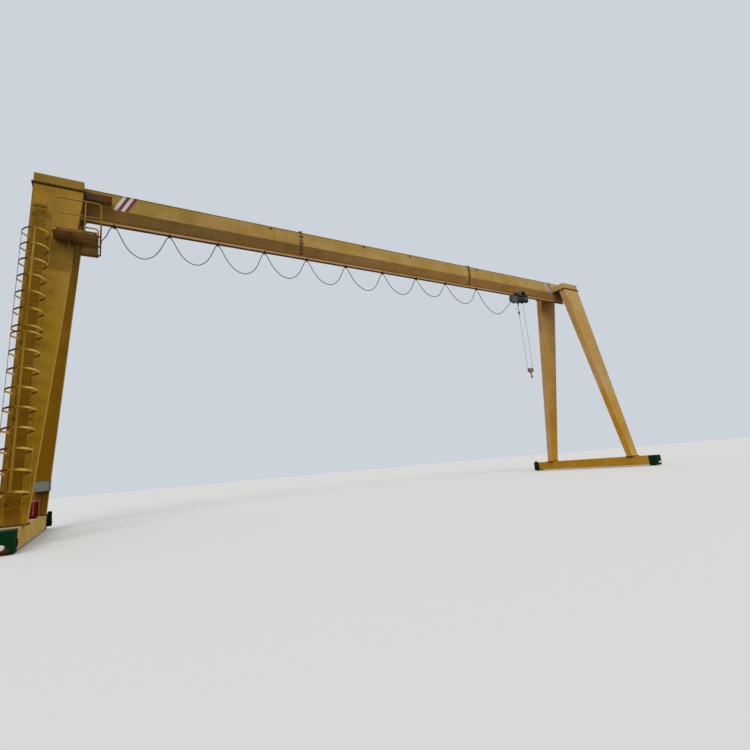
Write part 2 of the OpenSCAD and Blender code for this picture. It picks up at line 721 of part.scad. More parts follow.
// Grey cabinet on the inner face of the left far leg: door, rain lip, latch and glands
module control_box() {
  x1 = box_x + box_w;
  z1 = box_z + box_h;
  color([0.5, 0.52, 0.52]) at_end(-1) difference() {
    union() {
      block(box_x, x1, box_front, box_front + 500, box_z, z1);
      block(box_x + 14, x1 - 14, box_front - 8, box_front, box_z + 14, z1 - 14);
      prism_yz([[box_front - 30, z1 - 4], [box_front - 30, z1], [box_front + 500, z1 + 12],
        [box_front + 500, z1 - 4]], box_x - 10, x1 + 10);
      rod_y(box_x + 50, box_front - 30, box_front, box_z + 120, 34);
      for (x = [box_x + 90, box_x + 150, box_x + 210]) rod_z(x, box_front + 90, box_z - 30, box_z, 36);
    }
    mirror([0, 1, 0]) leg_solid();
  }
}

// Red round-topped unit on the left ground beam
module warning_unit() {
  r = unit_d / 2;
  z1 = beam_top + 440;
  color([0.55, 0.06, 0.08]) at_end(-1) translate([unit_x, unit_y, 0]) {
    rod_z(0, 0, beam_top, beam_top + 14, unit_d + 40);
    rod_z(0, 0, beam_top + 14, beam_top + 60, unit_d - 80);
    translate([0, 0, z1]) rotate_extrude($fn = 64)
      polygon([[0, 60 - z1 + beam_top], [r, 60 - z1 + beam_top], [r, 0], [r - 5, 40], [r - 35, 75],
        [60, 96], [0, 100]]);
  }
}

// FESTOON
// Small carriages on the track's flange, each with a clamp for the cable
module festoon_hangers() {
  top = clamp_z + cable_d / 2 + seat_gap;
  arm = flange_half + 5;
  wheel_d = 36;
  wheel_w = 22;
  wheel_in = flange_half - 4 - wheel_w;
  wheel_up = track_low + flange_tip + (flange_half - wheel_in) * flange_fall + seat_gap + wheel_d / 2;
  color(dark) for (p = clamps) translate([p[0], 0, 0]) {
    block(-clamp_half, clamp_half, -30, 30, top, top + 8);
    block(-12, 12, -20, 20, top + 8, track_low - 8);
    block(-20, 20, -arm - 6, arm + 6, track_low - 12, track_low - 6);
    both_sides() {
      block(-20, 20, arm, arm + 6, track_low - 12, wheel_up + 16);
      rod_y(0, wheel_in, wheel_in + wheel_w, wheel_up, wheel_d);
      rod_y(0, wheel_in + wheel_w, arm + 10, wheel_up, 14);
    }
  }
}

module festoon_cable() {
  color(dark) tube(cable_route, [for (p = cable_route) cable_d / 2], [for (p = cable_route) 1], 8);
}

// TROLLEY AND HOIST
module at_hoist() { translate([hoist_x, 0, 0]) children(); }

// Side plates with pin bores and tie rods, cut to seat on the drum housing, with cross plates to it
module trolley_frame() {
  low = drum_z + drum_r - 32;
  edge = track_low + 60;
  rod_z0 = track_low - 15;
  color(green) at_hoist() difference() {
    union() {
      both_sides() difference() {
        translate([frame_x, side_y + side_t / 2, 0]) prism_xz([[-frame_half + 40, low],
          [frame_half - 40, low], [frame_half, low + 40], [frame_half, edge],
          [frame_half - 90, slope_low - 14], [90 - frame_half, slope_low - 14], [-frame_half, edge],
          [-frame_half, low + 40]], side_t);
        for (x = [-roller_x, roller_x])
          rod_y(frame_x + x, side_y - 1, side_y + side_t + 1, roller_z, pin_d + 2 * bore_gap);
      }
      for (x = [frame_x - 450, frame_x + 450]) {
        rod_y(x, -side_y - side_t - 12, side_y + side_t + 12, rod_z0, 20);
        both_sides() rod_y(x, side_y + side_t, side_y + side_t + 12, rod_z0, 38);
      }
      for (x = [-300, 300]) block(x - 10, x + 10, -side_y - 1, side_y + 1, drum_z + 90, track_low - 10);
    }
    rod_x(-drum_length / 2, drum_length / 2, 0, drum_z, drum_d + 2 * seat_gap);
    for (x = [-drum_length / 2 - 60, drum_length / 2 - 22])
      rod_x(x, x + 82, 0, drum_z, 2 * (drum_rim + seat_gap));
    rod_x(drum_length / 2, drum_length, 0, drum_z, drum_d);
  }
}

// Rollers with treads coned to the flange's slope, an outer guide rim and pins in the side plates
module trolley_rollers() {
  r = roller_d / 2;
  r_in = r - (roller_out - roller_in) * flange_fall;
  color(steel) at_hoist() for (x = [frame_x - roller_x, frame_x + roller_x]) both_sides() {
    turned_y(x, roller_z, [[0, roller_in], [r_in - 4, roller_in], [r_in, roller_in + 4],
      [r, roller_out], [r, flange_half + 1], [r + 8, flange_half + 2], [r + 8, side_y - 3], [0, side_y - 3]]);
    rod_y(x, side_y - 4, side_y + side_t, roller_z, pin_d);
  }
}

// Geared case on the near side, cut back from the girder's slanted plate, with its motor
module trolley_motor() {
  clear_low = slope_low - 20;
  color(green) at_hoist() {
    intersection() {
      translate([0, -case_y, 0]) rotate([90, 0, 0]) linear_extrude(height = drive_out - case_y) {
        for (x = [drive_x - 240, drive_x - 20]) translate([x, drive_z]) circle(r = drive_r, $fn = 64);
        translate([drive_x - 240, drive_z - drive_r]) square([220, 2 * drive_r]);
      }
      prism_yz([[-case_y, drive_z - drive_r - 1], [-case_y, clear_low], [-case_y - 56, clear_low + 112],
        [-drive_out, clear_low + 112], [-drive_out, drive_z - drive_r - 1]],
        drive_x - 400, drive_x + 200);
    }
    translate([drive_x, -drive_out, drive_z + 23]) rotate([90, 0, 0]) motor(104, 150);
  }
}

// Round housing with bolted end flanges, side bars and the rope guide's bar below
module drum_housing() {
  e = drum_length / 2;
  color(green) at_hoist() {
    turned_x(0, drum_z, [[0, -e], [drum_rim, -e], [drum_rim, 18 - e], [drum_r, 22 - e],
      [drum_r, e - 22], [drum_rim, e - 18], [drum_rim, e], [0, e]]);
    both_sides() block(60 - e, e - 60, drum_r - 20, drum_r + 14, drum_z - 6, drum_z + 6);
    block(30 - e, e - 30, -44, 44, fall_top, drum_z - drum_r + 20);
  }
}

// Turned case with a rounded end, and the lower lobe of the gear train
module hoist_gearbox() {
  x1 = -drum_length / 2;
  x0 = x1 - gear_t;
  color(green) at_hoist() {
    turned_x(0, drum_z, [[0, x0], [gear_r - 40, x0], [gear_r - 8, x0 + 30], [gear_r, x0 + 70], [gear_r, x1],
      [0, x1]]);
    turned_x(60, drum_z - 120, [[0, x0 + 20], [70, x0 + 20], [92, x0 + 45], [92, x1 - 10], [0, x1 - 10]]);
  }
}

// Ribbed hoist motor at the drum's right-hand end
module hoist_motor() {
  color(green) at_hoist() translate([drum_length / 2, 0, drum_z]) rotate([0, 90, 0]) motor(135, 330);
}

// Switch box before the gearbox, with lid, bracket, slanted cable gland and a round plug below
module electric_box() {
  z_mid = (ebox_low + ebox_high) / 2;
  gland = cable_route[route_last] - cable_route[route_last - 1];
  plug_x = ebox[0] + 200;
  plug_y = ebox[2] + 75;
  color(green) {
    at_hoist() {
      block(ebox[0], ebox[1], ebox[2] + 10, ebox[3], ebox_low, ebox_high);
      block(ebox[0] - 5, ebox[1] + 5, ebox[2], ebox[2] + 10, ebox_low - 5, ebox_high + 5);
      difference() {
        block(ebox[1] - 40, ebox[1] - 5, ebox[3], -gear_r + 60, z_mid - 20, z_mid + 80);
        rod_x(ebox[0], ebox[1] + 10, 0, drum_z, 2 * gear_r + 2 * seat_gap);
      }
      rod_z(plug_x, plug_y, ebox_low - 14, ebox_low, 116);
      rod_z(plug_x, plug_y, ebox_low - 85, ebox_low - 14, 100);
    }
    translate(cable_route[route_last]) rotate([0, atan2(gland[0], gland[2]), 0])
      translate([0, 0, seat_gap]) cylinder(d = 46, h = 90, $fn = 64);
  }
}

// Guide round the left rope fall, the switch lever, and the weight that trips it
module limit_switch() {
  x = hook_x - fall_gap / 2;
  plate_low = fall_top - 206;
  hole = rope_d + 14;
  color(dark) {
    difference() {
      block(x - 50, x + 50, -35, 35, fall_top - 66, fall_top);
      rod_z(x, 0, fall_top - 67, fall_top + 1, hole);
    }
    translate([0, -31, 0]) prism_xz([[x - 50, fall_top - 60], [x + 36, fall_top - 60], [x + 36, plate_low],
      [x, plate_low]], 8);
    translate([x + 20, -40, plate_low + 16]) rotate([0, 223, 0]) cylinder(d = 12, h = 455, $fn = 64);
    rod_z(x + 20, -31, fall_top - 750, plate_low + 5, 8);
    difference() {
      union() {
        rod_z(x, 0, fall_top - 676, fall_top - 546, 92);
        rod_z(x + 6, -14, fall_top - 786, fall_top - 746, 56);
      }
      rod_z(x, 0, fall_top - 787, fall_top - 545, hole);
    }
  }
}

module hoist_ropes() {
  color(steel) for (s = [-1, 1])
    rod_z(hook_x + s * fall_gap / 2, 0, block_z, fall_top, rope_d);
}

// HOOK BLOCK AND HOOK
// Two-lobed side plates bored for the pins, with a crosshead between them that the hook's shank turns in
module block_cheeks() {
  color([0.35, 0.14, 0.10]) translate([hook_x, 0, block_z]) {
    both_sides() translate([0, cheek_y, 0]) rotate([-90, 0, 0]) linear_extrude(height = cheek_t)
      difference() {
        union() {
          for (s = [-1, 1]) translate([s * (210 - cheek_r), 0]) circle(r = cheek_r, $fn = 64);
          translate([-80, -cheek_r + 22]) square([160, 2 * cheek_r - 44]);
          translate([-62, 60]) square([124, 100]);
        }
        for (s = [-1, 1]) translate([s * sheave_x, 0]) circle(d = pin_block_d + 2 * bore_gap, $fn = 64);
      }
    difference() {
      union() {
        block(-60, 60, -cheek_y, cheek_y, -160, -sheave_r - 26);
        rod_z(0, 0, -185, -160, 84);
      }
      rod_z(0, 0, -186, -sheave_r - 25, 2 * (shank_r + seat_gap));
      rod_z(0, 0, -150, -sheave_r - 25, 2 * (shank_r + 3 + seat_gap));
    }
  }
}

// Grooved sheaves on pins with round heads outside the side plates
module block_sheaves() {
  rim = sheave_r + 11;
  groove_r = rope_d / 2 + groove_gap;
  head = cheek_y + cheek_t;
  color(steel) translate([hook_x, 0, block_z]) for (s = [-1, 1]) translate([s * sheave_x, 0, 0]) {
    difference() {
      turned_y(0, 0, [[0, -16], [34, -16], [34, -9], [rim - 26, -9], [rim - 20, -15], [rim, -15],
        [rim, 15], [rim - 20, 15], [rim - 26, 9], [34, 9], [34, 16], [0, 16]]);
      rotate([90, 0, 0]) rotate_extrude($fn = 64) translate([sheave_r + rope_d / 2, 0])
        circle(r = groove_r, $fn = 24);
      turned_y(0, 0, [[sheave_r + 6, -0.9 * groove_r], [rim + 1, -groove_r - 5],
        [rim + 1, groove_r + 5], [sheave_r + 6, 0.9 * groove_r]]);
    }
    rod_y(0, -head, head, 0, pin_block_d);
    both_sides() rod_y(0, head, head + 10, 0, 62);
  }
}

// Rope passing under the two sheaves
module rope_bight() {
  color(steel) translate([hook_x, 0, block_z]) {
    for (s = [0, 1]) mirror([s, 0, 0]) translate([sheave_x, 0, 0]) rotate([90, 0, 0])
      rotate([0, 0, 270]) rotate_extrude(angle = 90, $fn = 48)
        translate([sheave_r + rope_d / 2, 0]) circle(d = rope_d, $fn = 24);
    rod_x(-sheave_x, sheave_x, 0, -sheave_r - rope_d / 2, rope_d);
  }
}

// Forged hook in one sweep: headed round shank, back curve, thick bowl and a point that narrows
module hook() {
  r = hook_bar / 2;
  top = block_z - hook_c;
  tip = [-hook_r * cos(15), 0, hook_r * sin(15)];
  shank = [[0, 0, top - 138], [0, 0, top - 149], [0, 0, top - 149.7], [0, 0, top - 186]];
  back = [for (a = [0 : 9 : 45]) [hook_back * (1 - cos(a)), 0, hook_back * (1 - sin(a))]];
  bowl = [for (a = [30 : -15 : -195]) [hook_r * cos(a), 0, hook_r * sin(a)]];
  path = concat(shank, back, bowl, [tip + [4, 0, 18], tip + [9, 0, 34]]);
  radii = concat([shank_r + 3, shank_r + 3, shank_r, shank_r], [for (a = [0 : 9 : 45]) r + 3 * a / 45],
    [for (a = [30 : -15 : -195]) a > -90 ? r + 3 + 4 * (45 - a) / 135 : r + 7 - 15 * (-90 - a) / 105],
    [r - 11, r - 17]);
  flats = [for (i = [0 : len(path) - 1]) i < 4 ? 1 : max(0.82, 1 - 0.04 * (i - 3))];
  color(dark) translate([hook_x, 0, hook_c]) tube(path, radii, flats, 16);
}

girder_left();
girder_middle();
girder_right();
splice_plates();
girder_lugs();
track_beam();
saddle_left();
saddle_right();
leg_left_near();
leg_left_far();
leg_right_near();
leg_right_far();
ground_beam_left();
ground_beam_right();
truck_left_near();
truck_left_far();
truck_right_near();
truck_right_far();
travel_wheels();
travel_drives();
buffers();
service_shelf();
ladder();
cage_lower();
cage_upper();
platform_deck();
platform_brackets();
handrail();
control_box();
warning_unit();
festoon_hangers();
festoon_cable();
trolley_frame();
trolley_rollers();
trolley_motor();
drum_housing();
hoist_gearbox();
hoist_motor();
electric_box();
limit_switch();
hoist_ropes();
block_cheeks();
block_sheaves();
rope_bight();
hook();
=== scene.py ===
import math

import bpy
import numpy as np
from mathutils import Matrix


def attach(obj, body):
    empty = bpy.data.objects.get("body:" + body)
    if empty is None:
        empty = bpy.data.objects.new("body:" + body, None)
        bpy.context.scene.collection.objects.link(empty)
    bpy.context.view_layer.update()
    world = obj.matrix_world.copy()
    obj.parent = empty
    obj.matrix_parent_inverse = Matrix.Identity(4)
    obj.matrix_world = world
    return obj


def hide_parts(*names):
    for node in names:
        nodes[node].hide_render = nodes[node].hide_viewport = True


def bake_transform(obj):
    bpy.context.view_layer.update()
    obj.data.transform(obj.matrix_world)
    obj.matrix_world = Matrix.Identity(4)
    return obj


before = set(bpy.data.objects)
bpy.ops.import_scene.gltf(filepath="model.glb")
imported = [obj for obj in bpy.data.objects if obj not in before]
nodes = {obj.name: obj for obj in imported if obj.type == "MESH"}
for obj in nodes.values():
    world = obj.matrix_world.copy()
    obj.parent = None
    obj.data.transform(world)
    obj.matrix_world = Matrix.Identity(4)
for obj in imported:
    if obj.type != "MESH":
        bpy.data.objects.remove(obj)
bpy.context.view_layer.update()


# helpers for meshes

# quads of a grid of rings, each with its last column joined to its first
def gridFaces(rows, columns):
    r, c = np.meshgrid(np.arange(rows - 1), np.arange(columns), indexing="ij")
    n = (c + 1) % columns
    low, high = r * columns, (r + 1) * columns
    return np.stack([low + c, low + n, high + n, high + c], -1).reshape(-1, 4)


# flat faces over the first and the last ring of such a grid
def endCaps(rows, columns):
    last = (rows - 1) * columns
    return [list(range(columns))[::-1], list(range(last, last + columns))]


# a new mesh object from arrays of points and quads, plus lists of any other faces
def makePiece(name, points, quads, caps=(), material=None, smooth=False):
    mesh = bpy.data.meshes.new(name)
    faces = [tuple(q) for q in np.asarray(quads, int).tolist()] + [tuple(c) for c in caps]
    mesh.from_pydata(np.asarray(points, float).reshape(-1, 3).tolist(), [], faces)
    if smooth:
        mesh.polygons.foreach_set("use_smooth", [len(f) == 4 for f in faces])
    if material:
        mesh.materials.append(material)
    mesh.update()
    piece = bpy.data.objects.new(name, mesh)
    bpy.context.scene.collection.objects.link(piece)
    return piece


# several shapes (points, quads, caps) as one
def joinShapes(shapes):
    points, quads, caps, count = [], [], [], 0
    for p, q, c in shapes:
        p = np.asarray(p, float).reshape(-1, 3)
        points.append(p)
        if len(q):
            quads.append(np.asarray(q, int) + count)
        caps += [[i + count for i in f] for f in c]
        count += len(p)
    return np.concatenate(points), (np.concatenate(quads) if quads else np.zeros((0, 4), int)), caps


# unit vectors across a path: the part of the reference that is square to the path, and their cross product
def pathFrames(path, reference):
    along = np.gradient(path, axis=0)
    along /= np.linalg.norm(along, axis=1)[:, None]
    across = np.asarray(reference, float) - along * (along @ np.asarray(reference, float))[:, None]
    across /= np.linalg.norm(across, axis=1)[:, None]
    return along, across, np.cross(along, across)


# round tube along a path: ring centre + radius (cos a across + sin a upright), closed by flat caps
def tubeShape(path, radius, sides=12, reference=(0, 1, 0)):
    path = np.asarray(path, float)
    along, across, upright = pathFrames(path, reference)
    a = np.arange(sides) * 2 * np.pi / sides
    radius = np.broadcast_to(radius, len(path))[:, None, None]
    ring = np.cos(a)[None, :, None] * across[:, None] + np.sin(a)[None, :, None] * upright[:, None]
    points = path[:, None] + radius * ring
    return points.reshape(-1, 3), gridFaces(len(path), sides), endCaps(len(path), sides)


# solid box between two corners
def boxShape(low, high):
    x, y, z = np.meshgrid([low[0], high[0]], [low[1], high[1]], [low[2], high[2]], indexing="ij")
    points = np.stack([x, y, z], -1).reshape(-1, 3)
    quads = [[0, 1, 3, 2], [4, 6, 7, 5], [0, 4, 5, 1], [2, 3, 7, 6], [0, 2, 6, 4], [1, 5, 7, 3]]
    return points, np.array(quads), []


# turned shape round an axis: profile points (radius, place along the axis), first and last on the axis
def turnedShape(centre, axis, profile, sides=24):
    profile = np.asarray(profile, float)
    axis = np.asarray(axis, float) / np.linalg.norm(axis)
    side = np.cross(axis, [0.0, 0.0, 1.0] if abs(axis[2]) < 0.9 else [1.0, 0.0, 0.0])
    side /= np.linalg.norm(side)
    other = np.cross(axis, side)
    a = np.arange(sides) * 2 * np.pi / sides
    ring = np.cos(a)[:, None] * side + np.sin(a)[:, None] * other
    radius, place = profile[:, 0, None, None], profile[:, 1, None, None]
    points = np.asarray(centre, float) + radius * ring[None] + place * axis
    return points.reshape(-1, 3), gridFaces(len(profile), sides), endCaps(len(profile), sides)


# smooth line through points: natural cubic spline on chord length, with the two end directions given
def splinePath(points, startDirection, endDirection, count):
    p = np.asarray(points, float)
    h = np.linalg.norm(np.diff(p, axis=0), axis=1)
    s = np.concatenate([[0], np.cumsum(h)])
    n = len(p)
    system, right = np.zeros((n, n)), np.zeros((n, 3))
    system[0, 0] = system[-1, -1] = 1
    right[0] = np.asarray(startDirection, float) / np.linalg.norm(startDirection)
    right[-1] = np.asarray(endDirection, float) / np.linalg.norm(endDirection)
    i = np.arange(1, n - 1)
    system[i, i - 1], system[i, i], system[i, i + 1] = 1 / h[:-1], 2 / h[:-1] + 2 / h[1:], 1 / h[1:]
    slopes = np.diff(p, axis=0) / h[:, None] ** 2
    right[1:-1] = 3 * (slopes[:-1] + slopes[1:])
    tangent = np.linalg.solve(system, right)
    u = np.linspace(0, s[-1], count)
    k = np.clip(np.searchsorted(s, u, side="right") - 1, 0, n - 2)
    t = ((u - s[k]) / h[k])[:, None]
    a, b, ma, mb = p[k], p[k + 1], tangent[k] * h[k][:, None], tangent[k + 1] * h[k][:, None]
    fromStart = (2 * t**3 - 3 * t**2 + 1) * a + (t**3 - 2 * t**2 + t) * ma
    return fromStart + (-2 * t**3 + 3 * t**2) * b + (t**3 - t**2) * mb


def pathLength(path):
    return float(np.linalg.norm(np.diff(path, axis=0), axis=1).sum())


# camera

cameraSet = {"place": (-11.3345, -16.5213, 1.1753), "heading": 0.556623, "lift": 0.197691,
             "roll": -0.087321, "lens": 21.7795}


def makeCamera(s):
    ch, sh, cl, sl, cr, sr = (f(s[k]) for k in ("heading", "lift", "roll") for f in (math.cos, math.sin))
    ahead = np.array([sh * cl, ch * cl, sl])
    right = np.array([ch, -sh, 0.0])
    up = np.array([-sh * sl, -ch * sl, cl])
    rightRolled, upRolled = right * cr + up * sr, up * cr - right * sr
    data = bpy.data.cameras.new("camera")
    data.lens, data.sensor_width, data.clip_end = s["lens"], 36, 500
    camera = bpy.data.objects.new("camera", data)
    bpy.context.scene.collection.objects.link(camera)
    turn = Matrix([[rightRolled[i], upRolled[i], -ahead[i]] for i in range(3)]).to_4x4()
    camera.matrix_world = Matrix.Translation(s["place"]) @ turn
    bpy.context.scene.camera = camera


makeCamera(cameraSet)
print("camera done")


# helpers for materials

# a node with its properties, and with values or links on its inputs
def put(tree, kind, inputs=None, **settings):
    node = tree.nodes.new(kind)
    for k, v in settings.items():
        setattr(node, k, v)
    for k, v in (inputs or {}).items():
        if isinstance(v, bpy.types.NodeSocket):
            tree.links.new(v, node.inputs[k])
        else:
            node.inputs[k].default_value = v
    return node


def calc(tree, operation, a, b=0.0, clamp=False):
    return put(tree, "ShaderNodeMath", {0: a, 1: b}, operation=operation, use_clamp=clamp).outputs[0]


def times(tree, a, b, clamp=False):
    return calc(tree, "MULTIPLY", a, b, clamp)


# value x factor + base
def scaled(tree, value, factor, base):
    return put(tree, "ShaderNodeMath", {0: value, 1: factor, 2: base}, operation="MULTIPLY_ADD").outputs[0]


# colour mix: from a to b by the factor
def blendColour(tree, factor, a, b, mode="MIX"):
    node = put(tree, "ShaderNodeMix", {"Factor": factor}, data_type="RGBA", blend_type=mode)
    for socket, value in ((node.inputs[6], a), (node.inputs[7], b)):
        if isinstance(value, bpy.types.NodeSocket):
            tree.links.new(value, socket)
        else:
            socket.default_value = value
    return node.outputs[2]


# share from 0 to 1 as the value rises from low to high
def ramp(tree, value, low, high):
    inputs = {0: value, 1: low, 2: high, 3: 0.0, 4: 1.0}
    return put(tree, "ShaderNodeMapRange", inputs, interpolation_type="SMOOTHSTEP").outputs[0]


def noise(tree, vector, stretch, detail, roughness=0.55):
    mapped = put(tree, "ShaderNodeMapping", {"Vector": vector, "Scale": stretch}).outputs[0]
    inputs = {"Vector": mapped, "Scale": 1.0, "Detail": detail, "Roughness": roughness}
    return put(tree, "ShaderNodeTexNoise", inputs).outputs[0]


def srgb(r, g, b):
    c = np.array([r, g, b]) / 255
    return tuple(float(v) for v in np.where(c <= 0.04045, c / 12.92, ((c + 0.055) / 1.055) ** 2.4)) + (1.0,)


# the three parts of the surface's normal
def normalParts(tree):
    return put(tree, "ShaderNodeSeparateXYZ", {0: put(tree, "ShaderNodeNewGeometry").outputs["Normal"]}).outputs


# a node group of a finish: its inputs as (name, kind, value), and colour, roughness and height out of it
def makeGroup(name, inputs):
    tree = bpy.data.node_groups.new(name, "ShaderNodeTree")
    for label, kind, value in inputs:
        socket = tree.interface.new_socket(name=label, in_out="INPUT", socket_type=kind)
        if value is not None:
            socket.default_value = value
    outputs = {"Color": "NodeSocketColor", "Roughness": "NodeSocketFloat", "Height": "NodeSocketFloat"}
    for label, kind in outputs.items():
        tree.interface.new_socket(name=label, in_out="OUTPUT", socket_type=kind)
    return tree, tree.nodes.new("NodeGroupInput").outputs, tree.nodes.new("NodeGroupOutput")


# weathered paint: slow fading, dirt runs down the faces, soft grime, small rust spots, dust on what faces up
def makePaintGroup():
    tree, i, out = makeGroup("weatheredPaint", [
        ("Vector", "NodeSocketVector", None), ("Paint", "NodeSocketColor", (0.5, 0.4, 0.1, 1)),
        ("Faded", "NodeSocketColor", (0.5, 0.4, 0.2, 1)), ("Grime", "NodeSocketColor", (0.08, 0.06, 0.04, 1)),
        ("Rust", "NodeSocketColor", (0.16, 0.05, 0.02, 1)), ("Dust", "NodeSocketColor", (0.4, 0.37, 0.32, 1)),
        ("Fade", "NodeSocketFloat", 0.6), ("Streaks", "NodeSocketFloat", 0.4), ("Soil", "NodeSocketFloat", 0.3),
        ("Spots", "NodeSocketFloat", 0.5)])
    v = i["Vector"]
    slow = ramp(tree, noise(tree, v, (0.55, 0.55, 0.75), 3.0), 0.38, 0.66)
    runs = ramp(tree, noise(tree, v, (6.5, 6.5, 0.28), 5.0, 0.62), 0.5, 0.74)
    fineRuns = ramp(tree, noise(tree, v, (34.0, 34.0, 0.9), 4.0, 0.6), 0.53, 0.72)
    soil = ramp(tree, noise(tree, v, (1.7, 1.7, 2.1), 8.0, 0.66), 0.46, 0.72)
    spots = ramp(tree, noise(tree, v, (11.0, 11.0, 9.0), 7.0, 0.68), 0.655, 0.7)
    grain = noise(tree, v, (170.0, 170.0, 170.0), 2.0)
    upward = ramp(tree, normalParts(tree)[2], 0.35, 0.95)
    dusty = times(tree, upward, scaled(tree, soil, 0.35, 0.5))
    colour = blendColour(tree, times(tree, slow, i["Fade"]), i["Paint"], i["Faded"])
    allRuns = calc(tree, "MAXIMUM", runs, times(tree, fineRuns, 0.6))
    colour = blendColour(tree, times(tree, allRuns, i["Streaks"]), colour, i["Grime"])
    colour = blendColour(tree, times(tree, soil, i["Soil"]), colour, i["Grime"])
    spotted = times(tree, spots, i["Spots"])
    rusty = times(tree, spotted, scaled(tree, slow, 0.7, 0.5), clamp=True)
    colour = blendColour(tree, rusty, colour, i["Rust"])
    dusty = calc(tree, "ADD", dusty, times(tree, upward, 0.3), clamp=True)
    colour = blendColour(tree, dusty, colour, i["Dust"])
    rough = calc(tree, "ADD", times(tree, soil, 0.16), times(tree, rusty, 0.3))
    rough = calc(tree, "ADD", rough, scaled(tree, grain, 0.1, 0.5), clamp=True)
    high = calc(tree, "SUBTRACT", times(tree, grain, 0.25), times(tree, rusty, 0.6))
    tree.links.new(colour, out.inputs["Color"])
    tree.links.new(calc(tree, "ADD", rough, 0.36, clamp=True), out.inputs["Roughness"])
    tree.links.new(high, out.inputs["Height"])
    return tree


# used metal: brushed light and dark patches, brown film and fine scratches
def makeMetalGroup():
    tree, i, out = makeGroup("usedMetal", [
        ("Vector", "NodeSocketVector", None), ("Metal", "NodeSocketColor", (0.5, 0.5, 0.5, 1)),
        ("Film", "NodeSocketColor", (0.1, 0.07, 0.05, 1)), ("Film share", "NodeSocketFloat", 0.5)])
    v = i["Vector"]
    patches = ramp(tree, noise(tree, v, (9.0, 9.0, 9.0), 7.0, 0.65), 0.4, 0.7)
    film = times(tree, patches, i["Film share"])
    scratch = noise(tree, v, (60.0, 420.0, 60.0), 3.0)
    grain = noise(tree, v, (260.0, 260.0, 260.0), 2.0)
    colour = blendColour(tree, times(tree, scratch, 0.35), i["Metal"], i["Film"])
    rough = calc(tree, "ADD", times(tree, film, 0.35), scaled(tree, scratch, 0.25, 0.5), clamp=True)
    tree.links.new(blendColour(tree, film, colour, i["Film"]), out.inputs["Color"])
    tree.links.new(rough, out.inputs["Roughness"])
    tree.links.new(calc(tree, "ADD", grain, scratch), out.inputs["Height"])
    return tree


paintGroup, metalGroup = makePaintGroup(), makeMetalGroup()
paintGloss = 0.12


# a material with its Principled shader, object coordinates and a bump fed by the height it is given
def startMaterial(name):
    material = bpy.data.materials.new(name)
    material.use_nodes = True
    tree = material.node_tree
    return material, tree, tree.nodes["Principled BSDF"], put(tree, "ShaderNodeTexCoord").outputs["Object"]


def finishMaterial(tree, shader, colour, roughness, height, distance=0.0015, strength=0.5):
    tree.links.new(colour, shader.inputs["Base Color"])
    tree.links.new(roughness, shader.inputs["Roughness"])
    bump = put(tree, "ShaderNodeBump", {"Height": height, "Distance": distance, "Strength": strength})
    tree.links.new(bump.outputs[0], shader.inputs["Normal"])


def paintNode(tree, vector, s):
    node = put(tree, "ShaderNodeGroup", {"Vector": vector}, node_tree=paintGroup)
    for key, value in s.items():
        if isinstance(value, bpy.types.NodeSocket):
            tree.links.new(value, node.inputs[key])
        else:
            node.inputs[key].default_value = value
    return node.outputs


# share from 0 to 1 inside a block: one (low, high, softness) for X, Y and Z, or None where it is unbounded;
# disc = (X, Z, radius) makes it a disc about an axis along Y; facing = (from, to) is a ramp on the normal's X
def zoneShare(tree, place, limits, disc=None, facing=None):
    share = ramp(tree, normalParts(tree)[0], *facing) if facing else 1.0
    for axis, limit in enumerate(limits):
        if limit:
            low, high, soft = limit
            rise = ramp(tree, place[axis], low - soft, low + soft)
            fall = ramp(tree, place[axis], high + soft, high - soft)
            share = times(tree, share, times(tree, rise, fall))
    if disc:
        across = calc(tree, "POWER", calc(tree, "SUBTRACT", place[0], disc[0]), 2.0)
        upright = calc(tree, "POWER", calc(tree, "SUBTRACT", place[2], disc[1]), 2.0)
        away = calc(tree, "SQRT", calc(tree, "ADD", across, upright))
        share = times(tree, share, ramp(tree, away, disc[2] + 0.002, disc[2] - 0.002))
    return share


# the colour times a tone in each zone of a list, one (limits, tone) or (limits, tone, facing) for each zone
def toneZones(tree, place, colour, zones, part=1.0):
    for limits, tone, *facing in zones:
        share = zoneShare(tree, place, limits, None, *facing)
        colour = blendColour(tree, times(tree, share, part), colour, tone + (1,), "MULTIPLY")
    return colour


# weathered paint, whose colour may change in some zones of the piece
def makePaint(name, s, zones=()):
    material, tree, shader, vector = startMaterial(name)
    place = put(tree, "ShaderNodeSeparateXYZ", {0: vector}).outputs
    settings = dict(s)
    for zone in zones:
        share = zoneShare(tree, place, zone["limits"], zone.get("disc"), zone.get("facing"))
        for key in ("Paint", "Faded", "Grime"):
            if key in zone:
                settings[key] = blendColour(tree, share, settings[key], zone[key])
    out = paintNode(tree, vector, settings)
    shader.inputs["Specular IOR Level"].default_value = paintGloss
    finishMaterial(tree, shader, out["Color"], out["Roughness"], out["Height"])
    return material


def makeMetal(name, metal, film, share, metallic=0.8):
    material, tree, shader, vector = startMaterial(name)
    node = put(tree, "ShaderNodeGroup", {"Vector": vector}, node_tree=metalGroup)
    node.inputs["Metal"].default_value, node.inputs["Film"].default_value = metal, film
    node.inputs["Film share"].default_value = share
    shader.inputs["Metallic"].default_value = metallic
    out = node.outputs
    finishMaterial(tree, shader, out["Color"], out["Roughness"], out["Height"], 0.0006, 0.4)
    return material


